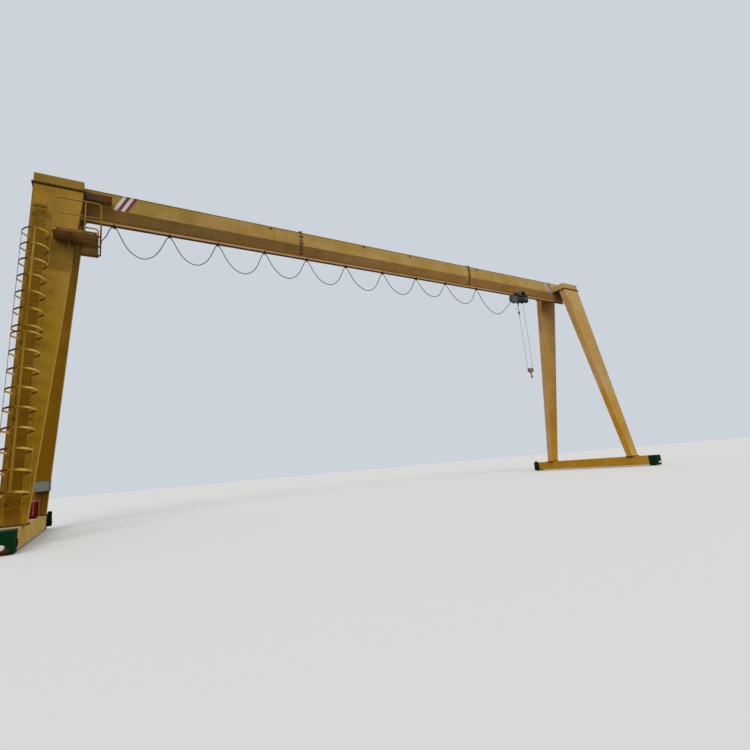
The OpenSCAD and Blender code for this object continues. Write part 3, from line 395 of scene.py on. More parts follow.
yellowSet = {"Paint": srgb(170, 130, 58), "Faded": srgb(184, 150, 88), "Grime": srgb(96, 68, 36),
             "Rust": srgb(92, 50, 30), "Dust": srgb(150, 132, 96), "Fade": 0.7, "Streaks": 0.28,
             "Soil": 0.18, "Spots": 0.55}
# painted shade: deep and deepFaded deepen the paint at the ladder end, and low darkens it there towards the
# bottom; painted light: sunny and sunnyFaded make the right legs paler
shadeSet = {"deep": srgb(138, 104, 26), "deepFaded": srgb(150, 116, 46), "low": srgb(128, 90, 4),
            "from": -6.5, "full": -11.6, "darkeningTop": 7.0, "darkeningLow": 1.2,
            "sunny": srgb(182, 139, 68), "sunnyFaded": srgb(191, 155, 95),
            "sunnyLegs": [(11.7, 14.4, 0.1), (-3.1, 3.1, 0.2), (0.56, 10.48, 0.05)],
            # painted light: faces turned towards +X at the ladder end are lighter, up to the height where the
            # platform's and girder's shade falls
            "bleached": srgb(214, 172, 66), "litFaceTop": (8.5, 6.5), "litFaceEnd": (-10.0, -11.0),
            # painted light: the undersides, faces turned down, are made lighter
            "litFaceFacing": (0.8, 0.95), "underLightFacing": (-0.3, -0.8), "underLight": (1.6, 1.6, 3.0, 1),
            "headJoint": 10.5, "headHalf": 0.03, "footJoint": 0.532, "footHalf": 0.016,
            "joint": srgb(38, 24, 12)}
# painted light and shade, as (limits, tone, facing): painted shade on the strip behind the ladder and under the
# platform, and painted light and shade on the legs' feet and tops and on the saddles, each face toned by the way
# it faces; the tones were taken from ratios of photo to render, measured face by face; what is duller or paler
# than the rest, as (limits, tone, facing): the soiled strip behind the ladder, the shade under the platform, the
# legs' feet and tops, and the saddles; the tones were typed from ratios of photo to render that a scratch script
# measured face by face
ladderShadeStrip, nearLeft, farLeft = (-13.17, -12.83, 0.03), (-4.0, -0.3, 0.1), (0.3, 4.0, 0.1)
leftEnd, rightEnd = (-14.0, -11.5, 0.1), (11.5, 14.0, 0.1)
notRight, notLeft, onLeft = (0.5, 0.3), (-0.5, -0.3), (-0.5, -0.7)
shadeSet["tones"] = [
    ([ladderShadeStrip, (-3.3, -0.6, 0.1), (0.5, 7.6, 0.2)], (0.63, 0.58, 0.23)),
    ([ladderShadeStrip, (-3.3, -0.6, 0.1), (7.6, 9.75, 0.1)], (0.63, 0.6, 0.42)),
    ([(-14.0, -13.2, 0.02), nearLeft, (0.5, 10.4, 0.1)], (0.71, 0.77, 0.9), notRight),
    ([(-12.83, -11.5, 0.03), nearLeft, (0.5, 6.2, 0.4)], (1.09, 1.15, 0.78), notRight),
    ([(-12.83, -11.5, 0.03), nearLeft, (7.5, 8.63, 0.06)], (0.68, 0.68, 0.65), notRight),
    ([(-12.83, -12.4, 0.1), nearLeft, (8.68, 10.4, 0.1)], (0.83, 0.87, 0.95), notRight),
    ([leftEnd, farLeft, (0.5, 6.2, 0.3)], (0.86, 0.77, 0.17), notRight),
    ([leftEnd, farLeft, (6.2, 8.8, 0.3)], (1.05, 0.92, 0.5), notRight),
    ([leftEnd, None, (10.5, 11.3, 0.02)], (0.87, 0.96, 1.4), notRight),
    ([rightEnd, farLeft, (0.5, 3.9, 0.5)], (0.95, 0.82, 0.3), notLeft),
    ([rightEnd, farLeft, (3.9, 6.0, 0.5)], (1.0, 0.95, 0.74), notLeft),
    ([rightEnd, farLeft, (6.0, 10.4, 0.5)], (1.1, 1.14, 1.3), notLeft),
    ([rightEnd, nearLeft, (0.5, 3.6, 0.4)], (0.89, 0.91, 0.65), notLeft),
    ([rightEnd, nearLeft, (3.6, 10.4, 0.4)], (0.84, 0.94, 1.1), notLeft),
    ([rightEnd, farLeft, (0.5, 10.4, 0.1)], (1.17, 1.18, 1.7), onLeft),
    ([rightEnd, nearLeft, (0.5, 4.5, 0.4)], (1.15, 1.0, 0.4), onLeft),
    ([rightEnd, nearLeft, (4.5, 10.4, 0.4)], (1.19, 1.21, 1.6), onLeft),
    ([rightEnd, None, (10.5, 11.3, 0.02)], (1.26, 1.26, 1.5), onLeft)]
ladderSet = {"Paint": srgb(112, 82, 8), "Faded": srgb(130, 100, 28), "Grime": srgb(108, 78, 34),
             "Rust": srgb(92, 50, 30), "Dust": srgb(196, 176, 128), "Fade": 0.9, "Streaks": 0.15,
             "Soil": 0.2, "Spots": 0.4}
ladderZones = [{"limits": [None, None, (6.5, 8.6, 0.1)], "Paint": srgb(136, 106, 34),
                "Faded": srgb(158, 128, 56)},
               # painted light and shade on the hoops: faces turned towards +X lighter, faces turned towards -X
               # darker
               {"limits": [(-13.4, -12.6, 0.02), None, (0.0, 9.2, 0.1)], "facing": (0.1, 0.6),
                "Paint": srgb(200, 158, 62), "Faded": srgb(218, 180, 92)},
               {"limits": [(-13.4, -12.6, 0.02), None, (0.0, 9.2, 0.1)], "facing": (-0.03, -0.4),
                "Paint": srgb(66, 26, 4), "Faded": srgb(78, 36, 8)},
               {"limits": [None, None, (8.66, 20.0, 0.05)], "Paint": srgb(134, 102, 40),
                "Faded": srgb(156, 124, 64)}]
beamSet = {"Paint": srgb(182, 128, 24), "Faded": srgb(192, 148, 50), "Grime": srgb(104, 76, 42),
           "Rust": srgb(96, 54, 30), "Dust": srgb(150, 132, 100), "Fade": 0.6, "Streaks": 0.25, "Soil": 0.2,
           "Spots": 0.5}
beamZones = [{"limits": [(-16.0, 0.0, 0.1), None, None], "Paint": srgb(209, 171, 80),
              "Faded": srgb(218, 187, 100)}]
truckSet = {"Paint": srgb(0, 36, 12), "Faded": srgb(0, 46, 20), "Grime": srgb(10, 16, 12),
            "Rust": srgb(84, 40, 26), "Dust": srgb(70, 76, 62), "Fade": 0.6, "Streaks": 0.3, "Soil": 0.35,
            "Spots": 0.4}
truckZones = [{"limits": [(-13.3, -12.9, 0.06), (-4.1, -3.75, 0.05), (-0.1, 0.13, 0.04)],
               "Paint": srgb(96, 40, 26), "Faded": srgb(112, 58, 38)}]
machineSet = {"Paint": srgb(60, 64, 62), "Faded": srgb(82, 84, 80), "Grime": srgb(28, 24, 28),
              "Rust": srgb(82, 54, 42), "Dust": srgb(110, 108, 100), "Fade": 0.6, "Streaks": 0.3,
              "Soil": 0.4, "Spots": 0.4}
caseSet = {"Paint": srgb(84, 96, 82), "Faded": srgb(106, 116, 100), "Grime": srgb(36, 36, 30),
           "Rust": srgb(88, 58, 42), "Dust": srgb(128, 126, 112), "Fade": 0.6, "Streaks": 0.35, "Soil": 0.4,
           "Spots": 0.4}
caseZones = [{"limits": [None, (-1.0, -0.2352, 0.0004), None], "Paint": srgb(14, 15, 18),
              "Faded": srgb(24, 26, 30)},
             {"limits": [None, (-1.0, -0.3, 0.01), None], "disc": (9.18, 10.095, 0.062),
              "Paint": srgb(74, 96, 112), "Faded": srgb(92, 114, 128)}]
boxSet = {"Paint": srgb(70, 90, 87), "Faded": srgb(92, 111, 107), "Grime": srgb(44, 44, 42),
          "Rust": srgb(88, 60, 46), "Dust": srgb(136, 134, 122), "Fade": 0.6, "Streaks": 0.3, "Soil": 0.3,
          "Spots": 0.3}
boxZones = [{"limits": [None, None, (9.0, 9.4595, 0.0004)], "Paint": srgb(24, 16, 26),
             "Faded": srgb(38, 28, 40)}]
greySet = {"Paint": srgb(110, 113, 106), "Faded": srgb(126, 127, 119), "Grime": srgb(60, 56, 50),
           "Rust": srgb(100, 60, 36), "Dust": srgb(140, 134, 120), "Fade": 0.5, "Streaks": 0.4, "Soil": 0.3,
           "Spots": 0.2}
redSet = {"Paint": srgb(78, 2, 0), "Faded": srgb(100, 15, 8), "Grime": srgb(40, 14, 12),
          "Rust": srgb(86, 44, 30), "Dust": srgb(130, 100, 90), "Fade": 0.5, "Streaks": 0.6, "Soil": 0.35,
          "Spots": 0.2}
# painted highlights: two narrow pale streaks down the red unit
redHighlightZones = [{"limits": [(low, high, 0.009), (0.0, 0.9, 0.02), (0.62, 1.0, 0.03)], "Paint": srgb(160, 84, 80),
             "Faded": srgb(180, 112, 106)} for low, high in ((-12.925, -12.908), (-12.8, -12.78))]
brownSet = {"Paint": srgb(147, 94, 82), "Faded": srgb(170, 126, 114), "Grime": srgb(60, 40, 36),
            "Rust": srgb(104, 58, 40), "Dust": srgb(150, 130, 118), "Fade": 0.5, "Streaks": 0.3, "Soil": 0.3,
            "Spots": 0.5}
darkSet = {"Paint": srgb(40, 38, 38), "Faded": srgb(58, 54, 50), "Grime": srgb(22, 20, 20),
           "Rust": srgb(84, 50, 34), "Dust": srgb(100, 92, 82), "Fade": 0.6, "Streaks": 0.2, "Soil": 0.4,
           "Spots": 0.8}

spliceSet = dict(yellowSet, Paint=srgb(126, 94, 48), Faded=srgb(142, 110, 64))


# yellow of the whole crane: paler on the open side as painted light, deeper at the ladder end as painted shade,
# and darker there towards the bottom
def yellowNode(tree, vector, s):
    place = put(tree, "ShaderNodeSeparateXYZ", {0: vector}).outputs
    # painted shade deepens the ladder end and darkens it towards the bottom; painted light makes the right legs
    # paler
    deep = ramp(tree, place[0], s["from"], s["full"])
    low = times(tree, ramp(tree, place[2], s["darkeningTop"], s["darkeningLow"]), 0.85)
    deepPaint = blendColour(tree, low, s["deep"], s["low"])
    sunny = zoneShare(tree, place, s["sunnyLegs"])
    pale = blendColour(tree, sunny, yellowSet["Paint"], s["sunny"])
    paleFaded = blendColour(tree, sunny, yellowSet["Faded"], s["sunnyFaded"])
    deepFaded = blendColour(tree, low, s["deepFaded"], s["low"])
    settings = dict(yellowSet, Paint=blendColour(tree, deep, pale, deepPaint),
                    Faded=blendColour(tree, deep, paleFaded, deepFaded))
    return paintNode(tree, vector, settings), place


def makeYellow(name, s):
    material, tree, shader, vector = startMaterial(name)
    out, place = yellowNode(tree, vector, s)
    facing = normalParts(tree)
    upright = ramp(tree, facing[2], 0.6, 0.3)
    # painted light on faces turned towards +X at the ladder end, below the shade of the platform and girder
    litFace = times(tree, ramp(tree, place[2], *s["litFaceTop"]), ramp(tree, place[0], *s["litFaceEnd"]))
    litFace = times(tree, litFace, times(tree, ramp(tree, facing[0], *s["litFaceFacing"]), 0.8))
    ragged = noise(tree, vector, (16.0, 16.0, 16.0), 4.0)
    # dark bands at the head and foot flanges: grime in the joints, and painted shade under the flanges
    joint = 0.0
    for middle, half in ((s["headJoint"], s["headHalf"]), (s["footJoint"], s["footHalf"])):
        away = calc(tree, "ABSOLUTE", calc(tree, "SUBTRACT", place[2], middle))
        away = calc(tree, "ADD", away, times(tree, ragged, half * 0.5))
        joint = calc(tree, "MAXIMUM", ramp(tree, away, half * 1.35, half * 1.1), joint)
    share = times(tree, times(tree, joint, upright), 0.85)
    colour = blendColour(tree, litFace, out["Color"], s["bleached"])
    # painted light: faces turned down are made lighter
    under = ramp(tree, facing[2], *s["underLightFacing"])
    colour = blendColour(tree, under, colour, s["underLight"], "MULTIPLY")
    # painted light and shade of the zones in the tones list
    colour = toneZones(tree, place, colour, s["tones"])
    colour = blendColour(tree, share, colour, s["joint"])
    shader.inputs["Specular IOR Level"].default_value = paintGloss
    finishMaterial(tree, shader, colour, out["Roughness"], out["Height"])
    return material


yellowPaint = makeYellow("weathered yellow paint", shadeSet)
# painted light: the shelf's underside is made much lighter still
shelfPaint = makeYellow("yellow shelf paint", dict(shadeSet, underLight=(2.2, 2.26, 10.0, 1)))
ladderPaint = makePaint("pale yellow ladder paint", ladderSet, ladderZones)
splicePaint = makePaint("stained splice paint", spliceSet)
beamPaint = makePaint("sand yellow beam paint", beamSet, beamZones)
truckPaint = makePaint("deep green truck paint", truckSet, truckZones)
machinePaint = makePaint("dark machine paint", machineSet)
casePaint = makePaint("olive case and black motor", caseSet, caseZones)
boxPaint = makePaint("grey-green box paint", boxSet, boxZones)
greyPaint = makePaint("grey cabinet paint", greySet)
redPaint = makePaint("red signal paint", redSet, redHighlightZones)
brownPaint = makePaint("faded red-brown paint", brownSet)
darkPaint = makePaint("dull black paint", darkSet)
wornSteel = makeMetal("worn running steel", srgb(150, 148, 144), srgb(70, 52, 40), 0.7)
boltSteel = makeMetal("dark weathered bolts", srgb(54, 42, 34), srgb(36, 22, 14), 0.8, 0.2)
ropeSteel = makeMetal("greased wire rope", srgb(78, 80, 82), srgb(48, 44, 42), 0.5, 0.4)


# girder paint: slanted red and white bands near both ends of the web, plate seams, and painted light and shade
# along the web and the slanted plates
girderSet = {"bandLow": 10.54, "leftStart": -11.11, "leftSlope": 0.51, "rightStart": 11.52, "rightSlope": -0.5,
             "bandWidth": 0.114, "bands": 4, "webHalf": 0.196, "seamStart": 40.3,
             "seamPitch": 2.36, "slopeTop": 10.512,
             # painted light: lipTone lightens the lips of the slanted plates that face down
             "lipFace": (-0.9, -0.99), "lipTone": (3.4, 3.5, 4.0, 1),
             "white": srgb(186, 184, 182), "red": srgb(108, 44, 46)}
# painted shade that grows paler from the girder's left to its right end: (from, to, left tone, right tone) in X,
# on the web and on the slanted plates under it, which are darker; the ends of both have painted light of their
# own, and all come from the same ratios
girderSet["webTone"] = (-9.0, 6.0, (0.78, 0.79, 0.7), (0.89, 0.95, 0.93))
girderSet["slopeTone"] = (-6.0, 4.0, (0.44, 0.41, 0.33), (0.67, 0.58, 0.51))
girderSet["webEnds"] = [([(-11.6, -9.0, 0.25)], (1.24, 1.39, 1.86)), ([(11.95, 14.0, 0.25)], (1.35, 1.35, 1.5))]
girderSet["slopeEnds"] = [([(-14.0, -10.8, 0.25)], (1.59, 1.56, 1.45)),
                          ([(-10.8, -9.6, 0.25)], (1.25, 1.27, 1.45))]


def makeGirderPaint(s):
    material, tree, shader, vector = startMaterial("banded girder paint")
    out, place = yellowNode(tree, vector, shadeSet)
    rise = calc(tree, "SUBTRACT", place[2], s["bandLow"])
    outside = calc(tree, "GREATER_THAN", calc(tree, "ABSOLUTE", place[1]), s["webHalf"])
    onWeb = times(tree, outside, calc(tree, "GREATER_THAN", rise, -0.015))
    slanted = calc(tree, "LESS_THAN", place[2], s["slopeTop"])
    upright = calc(tree, "GREATER_THAN", place[2], s["slopeTop"])
    colour = out["Color"]
    # painted shade along the web and the slanted plates, and painted light at their ends
    for part, tone, ends in ((upright, "webTone", "webEnds"), (slanted, "slopeTone", "slopeEnds")):
        left, right, leftTone, rightTone = s[tone]
        along = blendColour(tree, ramp(tree, place[0], left, right), leftTone + (1,), rightTone + (1,))
        colour = toneZones(tree, place, blendColour(tree, part, colour, along, "MULTIPLY"), s[ends], part)
    # painted light: the lips of the slanted plates that face down are made lighter
    lip = times(tree, slanted, ramp(tree, normalParts(tree)[2], *s["lipFace"]))
    colour = blendColour(tree, lip, colour, s["lipTone"], "MULTIPLY")
    wear = scaled(tree, ramp(tree, noise(tree, vector, (14.0, 14.0, 6.0), 6.0, 0.7), 0.68, 0.5), 0.45, 0.5)
    for start, slant in ((s["leftStart"], s["leftSlope"]), (s["rightStart"], s["rightSlope"])):
        along = calc(tree, "SUBTRACT", place[0], times(tree, rise, slant))
        step = calc(tree, "DIVIDE", calc(tree, "SUBTRACT", along, start), s["bandWidth"])
        first, last = calc(tree, "GREATER_THAN", step, 0.0), calc(tree, "LESS_THAN", step, float(s["bands"]))
        inside = times(tree, times(tree, first, last), onWeb)
        white = calc(tree, "LESS_THAN", calc(tree, "MODULO", calc(tree, "ADD", step, 20.0), 2.0), 1.0)
        share = times(tree, times(tree, inside, wear, clamp=True), 1.6, clamp=True)
        colour = blendColour(tree, share, colour, blendColour(tree, white, s["red"], s["white"]))
    seam = calc(tree, "PINGPONG", calc(tree, "ADD", place[0], s["seamStart"]), s["seamPitch"] / 2)
    weld = ramp(tree, seam, 0.012, 0.0)
    colour = blendColour(tree, times(tree, weld, 0.35), colour, yellowSet["Grime"])
    height = calc(tree, "ADD", out["Height"], times(tree, weld, 2.0))
    finishMaterial(tree, shader, colour, out["Roughness"], height)
    return material


# track: pale web, partly its paint and partly painted light in its recess, red-brown edge and underside of the
# flange, running face worn bare beside the web
trackSet = {"low": 10.0, "edge": 0.0665, "web": 0.022, "faceUp": 0.017, "faceHalf": 0.0045,
            "webPaintAndLight": srgb(196, 166, 112), "edgePaint": srgb(84, 38, 30), "worn": srgb(122, 108, 92)}


def makeTrackPaint(s):
    material, tree, shader, vector = startMaterial("track beam paint and wear")
    out, place = yellowNode(tree, vector, shadeSet)
    side = calc(tree, "ABSOLUTE", place[1])
    up = calc(tree, "SUBTRACT", place[2], s["low"])
    outside, below = calc(tree, "GREATER_THAN", side, s["edge"]), calc(tree, "LESS_THAN", up, 0.001)
    edge = calc(tree, "MAXIMUM", outside, below)
    ragged = scaled(tree, ramp(tree, noise(tree, vector, (5.0, 12.0, 12.0), 6.0), 0.3, 0.5), 0.55, 0.5)
    # painted light: the paint made paler, for light on the web recessed under the slanted plates
    pale = blendColour(tree, 0.6, out["Color"], s["webPaintAndLight"])
    colour = blendColour(tree, times(tree, edge, ragged, clamp=True), pale, s["edgePaint"])
    level = calc(tree, "ABSOLUTE", calc(tree, "SUBTRACT", up, s["faceUp"]))
    face = calc(tree, "LESS_THAN", level, s["faceHalf"])
    running = times(tree, calc(tree, "GREATER_THAN", side, s["web"]), face)
    colour = blendColour(tree, times(tree, running, 0.85), colour, s["worn"])
    finishMaterial(tree, shader, colour, out["Roughness"], out["Height"])
    return material


# deck plate: raised tread bars in a herringbone on the top face, and an underside made lighter as painted light
deckSet = {"top": 8.6595, "barsPerMetre": 22.0, "underLight": (1.75, 1.8, 5.0, 1), "tread": srgb(150, 140, 122)}


def makeDeckPaint(s):
    material, tree, shader, vector = startMaterial("painted tread plate")
    out, place = yellowNode(tree, vector, shadeSet)
    top = calc(tree, "GREATER_THAN", place[2], s["top"])
    slants = [calc(tree, way, place[0], place[1]) for way in ("ADD", "SUBTRACT")]
    u, w = (times(tree, slanted, s["barsPerMetre"]) for slanted in slants)
    cell = calc(tree, "ADD", calc(tree, "FLOOR", u), calc(tree, "FLOOR", w))
    even = calc(tree, "GREATER_THAN", calc(tree, "MODULO", cell, 2.0), 0.5)
    fu, fw = (calc(tree, "ABSOLUTE", calc(tree, "SUBTRACT", calc(tree, "FRACT", v), 0.5)) for v in (u, w))
    barA = times(tree, ramp(tree, fu, 0.16, 0.08), ramp(tree, fw, 0.42, 0.34))
    barB = times(tree, ramp(tree, fw, 0.16, 0.08), ramp(tree, fu, 0.42, 0.34))
    barA = times(tree, even, barA)
    barB = times(tree, calc(tree, "SUBTRACT", 1.0, even), barB)
    bar = times(tree, top, calc(tree, "ADD", barA, barB))
    # painted light: the underside is made lighter
    below = calc(tree, "SUBTRACT", 1.0, top)
    colour = blendColour(tree, below, out["Color"], s["underLight"], "MULTIPLY")
    colour = blendColour(tree, times(tree, bar, 0.4), colour, s["tread"])
    height = calc(tree, "ADD", out["Height"], times(tree, bar, 2.0))
    finishMaterial(tree, shader, colour, out["Roughness"], height)
    return material


# rubber: even colour with a fine grain and chalky patches
def makeRubber(name, colour, chalk, roughness):
    material, tree, shader, vector = startMaterial(name)
    patch = ramp(tree, noise(tree, vector, (5.0, 5.0, 5.0), 6.0), 0.4, 0.7)
    grain = noise(tree, vector, (400.0, 400.0, 400.0), 2.0)
    mixed = blendColour(tree, times(tree, patch, 0.5), colour, chalk)
    dull = calc(tree, "ADD", times(tree, patch, 0.15), roughness)
    finishMaterial(tree, shader, mixed, dull, grain, 0.0004, 0.4)
    return material


girderPaint = makeGirderPaint(girderSet)
trackPaint = makeTrackPaint(trackSet)
deckPaint = makeDeckPaint(deckSet)
paleRubber = makeRubber("pale buffer rubber", srgb(206, 200, 184), srgb(158, 148, 130), 0.6)
cableRubber = makeRubber("dull cable sheath", srgb(14, 14, 16), srgb(34, 33, 35), 0.6)

nodeFinish = {
    "banded girder paint": (girderPaint, ["girder_left", "girder_middle", "girder_right"]),
    "track": (trackPaint, ["track_beam"]),
    "deck": (deckPaint, ["platform_deck"]),
    "yellow": (yellowPaint, ["ladder", "saddle_left", "saddle_right", "leg_left_near", "leg_left_far",
                             "leg_right_near", "leg_right_far", "platform_brackets"]),
    "shelf": (shelfPaint, ["service_shelf"]),
    "ladder": (ladderPaint, ["cage_lower", "cage_upper", "handrail"]),
    "splice": (splicePaint, ["splice_plates"]),
    "beam": (beamPaint, ["ground_beam_left", "ground_beam_right"]),
    "truck": (truckPaint, ["truck_left_near", "truck_left_far", "truck_right_near", "truck_right_far",
                           "travel_drives"]),
    "machine": (machinePaint, ["drum_housing", "hoist_motor"]),
    "case": (casePaint, ["trolley_motor", "hoist_gearbox"]),
    "box": (boxPaint, ["electric_box"]),
    "dark": (darkPaint, ["trolley_frame", "girder_lugs", "limit_switch", "hook"]),
    "steel": (wornSteel, ["travel_wheels", "trolley_rollers", "block_sheaves"]),
    "grey": (greyPaint, ["control_box"]),
    "red": (redPaint, ["warning_unit"]),
    "brown": (brownPaint, ["block_cheeks"]),
    "pale": (paleRubber, ["buffers"]),
}


# every carried-over node gets its finish in its own material slot
def dressNodes(finishes):
    for material, names in finishes.values():
        for n in names:
            node = nodes[n]
            if not node.material_slots:
                node.data.materials.append(material)
            for slot in node.material_slots:
                slot.material = material


dressNodes(nodeFinish)
print("materials done")


# festoon cable and its hangers

festoonSet = {
    "diameter": 0.030, "clampZ": 9.960, "trolleyX": 8.03, "bend": 0.07, "firstRun": 0.03, "pathPoints": 40,
    "reliefLength": 0.052, "points": [
        [-11.4424, -1.085, 8.82], [-11.37, -0.8, 9.07], [-11.27, -0.45, 9.43], [-11.19, -0.2, 9.76],
        [-11.13, 0, 9.96], [-10.99, 0, 9.96], [-10.76, 0, 9.43], [-10.48, 0, 9.08], [-10.16, 0, 8.96],
        [-9.87, 0, 9.08], [-9.61, 0, 9.43], [-9.39, 0, 9.96], [-9.25, 0, 9.96], [-9.01, 0, 9.46],
        [-8.73, 0, 9.13], [-8.41, 0, 9.02], [-8.14, 0, 9.13], [-7.89, 0, 9.46], [-7.69, 0, 9.96],
        [-7.55, 0, 9.96], [-7.29, 0, 9.42], [-6.98, 0, 9.07], [-6.63, 0, 8.95], [-6.34, 0, 9.07],
        [-6.08, 0, 9.42], [-5.87, 0, 9.96], [-5.73, 0, 9.96], [-5.48, 0, 9.47], [-5.17, 0, 9.14],
        [-4.83, 0, 9.03], [-4.53, 0, 9.14], [-4.26, 0, 9.47], [-4.04, 0, 9.96], [-3.9, 0, 9.96],
        [-3.64, 0, 9.46], [-3.32, 0, 9.13], [-2.97, 0, 9.02], [-2.67, 0, 9.13], [-2.4, 0, 9.46],
        [-2.18, 0, 9.96], [-2.04, 0, 9.96], [-1.77, 0, 9.46], [-1.43, 0, 9.12], [-1.06, 0, 9.01],
        [-0.75, 0, 9.12], [-0.47, 0, 9.46], [-0.24, 0, 9.96], [-0.1, 0, 9.96], [0.17, 0, 9.48],
        [0.5, 0, 9.17], [0.87, 0, 9.06], [1.19, 0, 9.17], [1.47, 0, 9.48], [1.71, 0, 9.96],
        [1.85, 0, 9.96], [2.1, 0, 9.55], [2.41, 0, 9.28], [2.76, 0, 9.19], [3.07, 0, 9.28],
        [3.34, 0, 9.55], [3.57, 0, 9.96], [3.71, 0, 9.96], [4.02, 0, 9.49], [4.4, 0, 9.18],
        [4.83, 0, 9.07], [5.17, 0, 9.18], [5.47, 0, 9.49], [5.72, 0, 9.96], [5.86, 0, 9.96],
        [6.2, 0, 9.3], [6.62, 0, 8.92], [6.85, 0, 8.79], [7.06, -0.06, 8.7], [7.33, -0.14, 8.79],
        [7.54, -0.19, 8.95], [7.7, -0.225, 9.12], [7.85, -0.25, 9.255], [7.99, -0.265, 9.4],
        [8.03, -0.265, 9.46]]}


# the piece keeps the place it has: its transform is baked into its mesh, and it does not follow gantry or trolley
def shareTravel(piece):
    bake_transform(piece)


# bend off a clamp: an arc of radius r in the plane of the clamp's line and the target turns the cable until it
# points straight at the target
def clampBend(clamp, target, side, r):
    away = np.asarray(target, float) - clamp
    drop = away * [0, 1, 1]
    down, across = np.linalg.norm(drop), side * away[0]
    turn = 0.9
    for _ in range(20):
        turn = math.atan2(down - r * (1 - math.cos(turn)), across - r * math.sin(turn))
    a = turn * np.array([[0.35], [0.7], [1.0]])
    return clamp + side * r * np.sin(a) * [1, 0, 0] + r * (1 - np.cos(a)) * drop / down


# fewer points on a path: equal shares of its length and twice its turning, and one more point close to each end
def thinPath(path, count):
    step = np.diff(path, axis=0)
    length = np.linalg.norm(step, axis=1)
    along = step / length[:, None]
    turning = np.arccos(np.clip((along[1:] * along[:-1]).sum(1), -1, 1))
    share = length / length.sum()
    share[1:] += 2 * turning / turning.sum()
    run = np.concatenate([[0], np.cumsum(share)])
    pick = np.interp(np.linspace(0, run[-1], count - 2), run, np.arange(len(path)))
    pick = np.sort(np.append(pick, [2, len(path) - 3]))
    return np.stack([np.interp(pick, np.arange(len(path)), path[:, k]) for k in range(3)], -1)


# the flange under the wheels: its low side, its edge's thickness, its slope and how far in from the edge the
# wheel's inner rim stands
hangerSet = {"track": 10.0, "barDrop": 0.012, "edge": 0.012, "slope": 0.185, "inset": 0.026, "gap": 0.0003,
             "wheel": 0.018}


# one hanger: flanged wheels on the track, cross bar and stem, a curved saddle plate under the cable and a
# bolted clamp plate over it; the saddle is two arcs about the bend's centre, swept across the cable
def hangerShape(x, s, h):
    z, r, bend = s["clampZ"], s["diameter"] / 2, s["bend"]
    a = np.linspace(-1.0, 1.0, 17)
    arc = np.stack([np.sin(a), 0 * a, np.cos(a)], -1)
    outer, inner = arc * (bend - r - 0.0004), arc * (bend - r - 0.0064)
    loop = np.concatenate([outer, inner[::-1]]) + [x, 0, z - bend]
    n = len(loop)
    k, m = np.arange(n), np.arange(16)
    sides = np.stack([k, k + n, (k + 1) % n + n, (k + 1) % n], -1)
    flat = np.stack([m, m + 1, n - 2 - m, n - 1 - m], -1)
    points = np.concatenate([loop - [0, 0.03, 0], loop + [0, 0.03, 0]])
    shapes = [(points, np.concatenate([sides, flat, flat[:, ::-1] + n]), []),
              boxShape((x - 0.016, -0.03, z + r + 0.0003), (x + 0.016, 0.03, z + r + 0.0083))]
    for y in (-0.0235, 0.0235):
        nut = [(0, 0), (0.0065, 0), (0.0065, 0.005), (0, 0.005)]
        shapes.append(turnedShape((x, y, z + r + 0.0083), (0, 0, 1), nut, 6))
        shapes.append(boxShape((x - 0.01, y - 0.005, z - r - 0.002), (x + 0.01, y + 0.005, z + r + 0.0003)))
    top = h["track"] - h["barDrop"]
    shapes += [boxShape((x - 0.012, -0.012, z + r + 0.008), (x + 0.012, 0.012, top)),
               boxShape((x - 0.02, -0.081, top), (x + 0.02, 0.081, top + 0.006))]
    wheelZ = h["track"] + h["edge"] + h["inset"] * h["slope"] + h["gap"] + h["wheel"]
    wheel = [(0, 0), (0.016, 0), (0.018, 0.003), (0.018, 0.019), (0.015, 0.022), (0, 0.022)]
    pin = [(0, 0), (0.006, 0), (0.006, 0.015), (0.011, 0.015), (0.011, 0.022), (0, 0.022)]
    for y in (-1, 1):
        low, high = sorted((y * 0.075, y * 0.081))
        shapes.append(boxShape((x - 0.02, low, top), (x + 0.02, high, wheelZ + 0.016)))
        shapes.append(turnedShape((x, y * 0.044, wheelZ), (0, y, 0), wheel, 20))
        shapes.append(turnedShape((x, y * 0.066, wheelZ), (0, y, 0), pin, 12))
    return joinShapes(shapes)


# tapered rubber sleeves where the cable leaves the clip on the handrail and the box on the trolley
def makeReliefs(route, s):
    r, l = s["diameter"] / 2, s["reliefLength"]
    profile = [(0, 0), (r + 0.011, 0), (r + 0.012, 0.004), (r + 0.009, 0.012), (r + 0.0035, l - 0.004),
               (r + 0.002, l), (0, l)]
    for name, end, towards, body in (("relief_clip", route[0], route[1], "gantry"),
                                     ("relief_box", route[-1], route[-2], "trolley")):
        shape = turnedShape(end, towards - end, profile, 20)
        piece = makePiece(name, *shape, material=cableRubber, smooth=True)
        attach(piece, body)


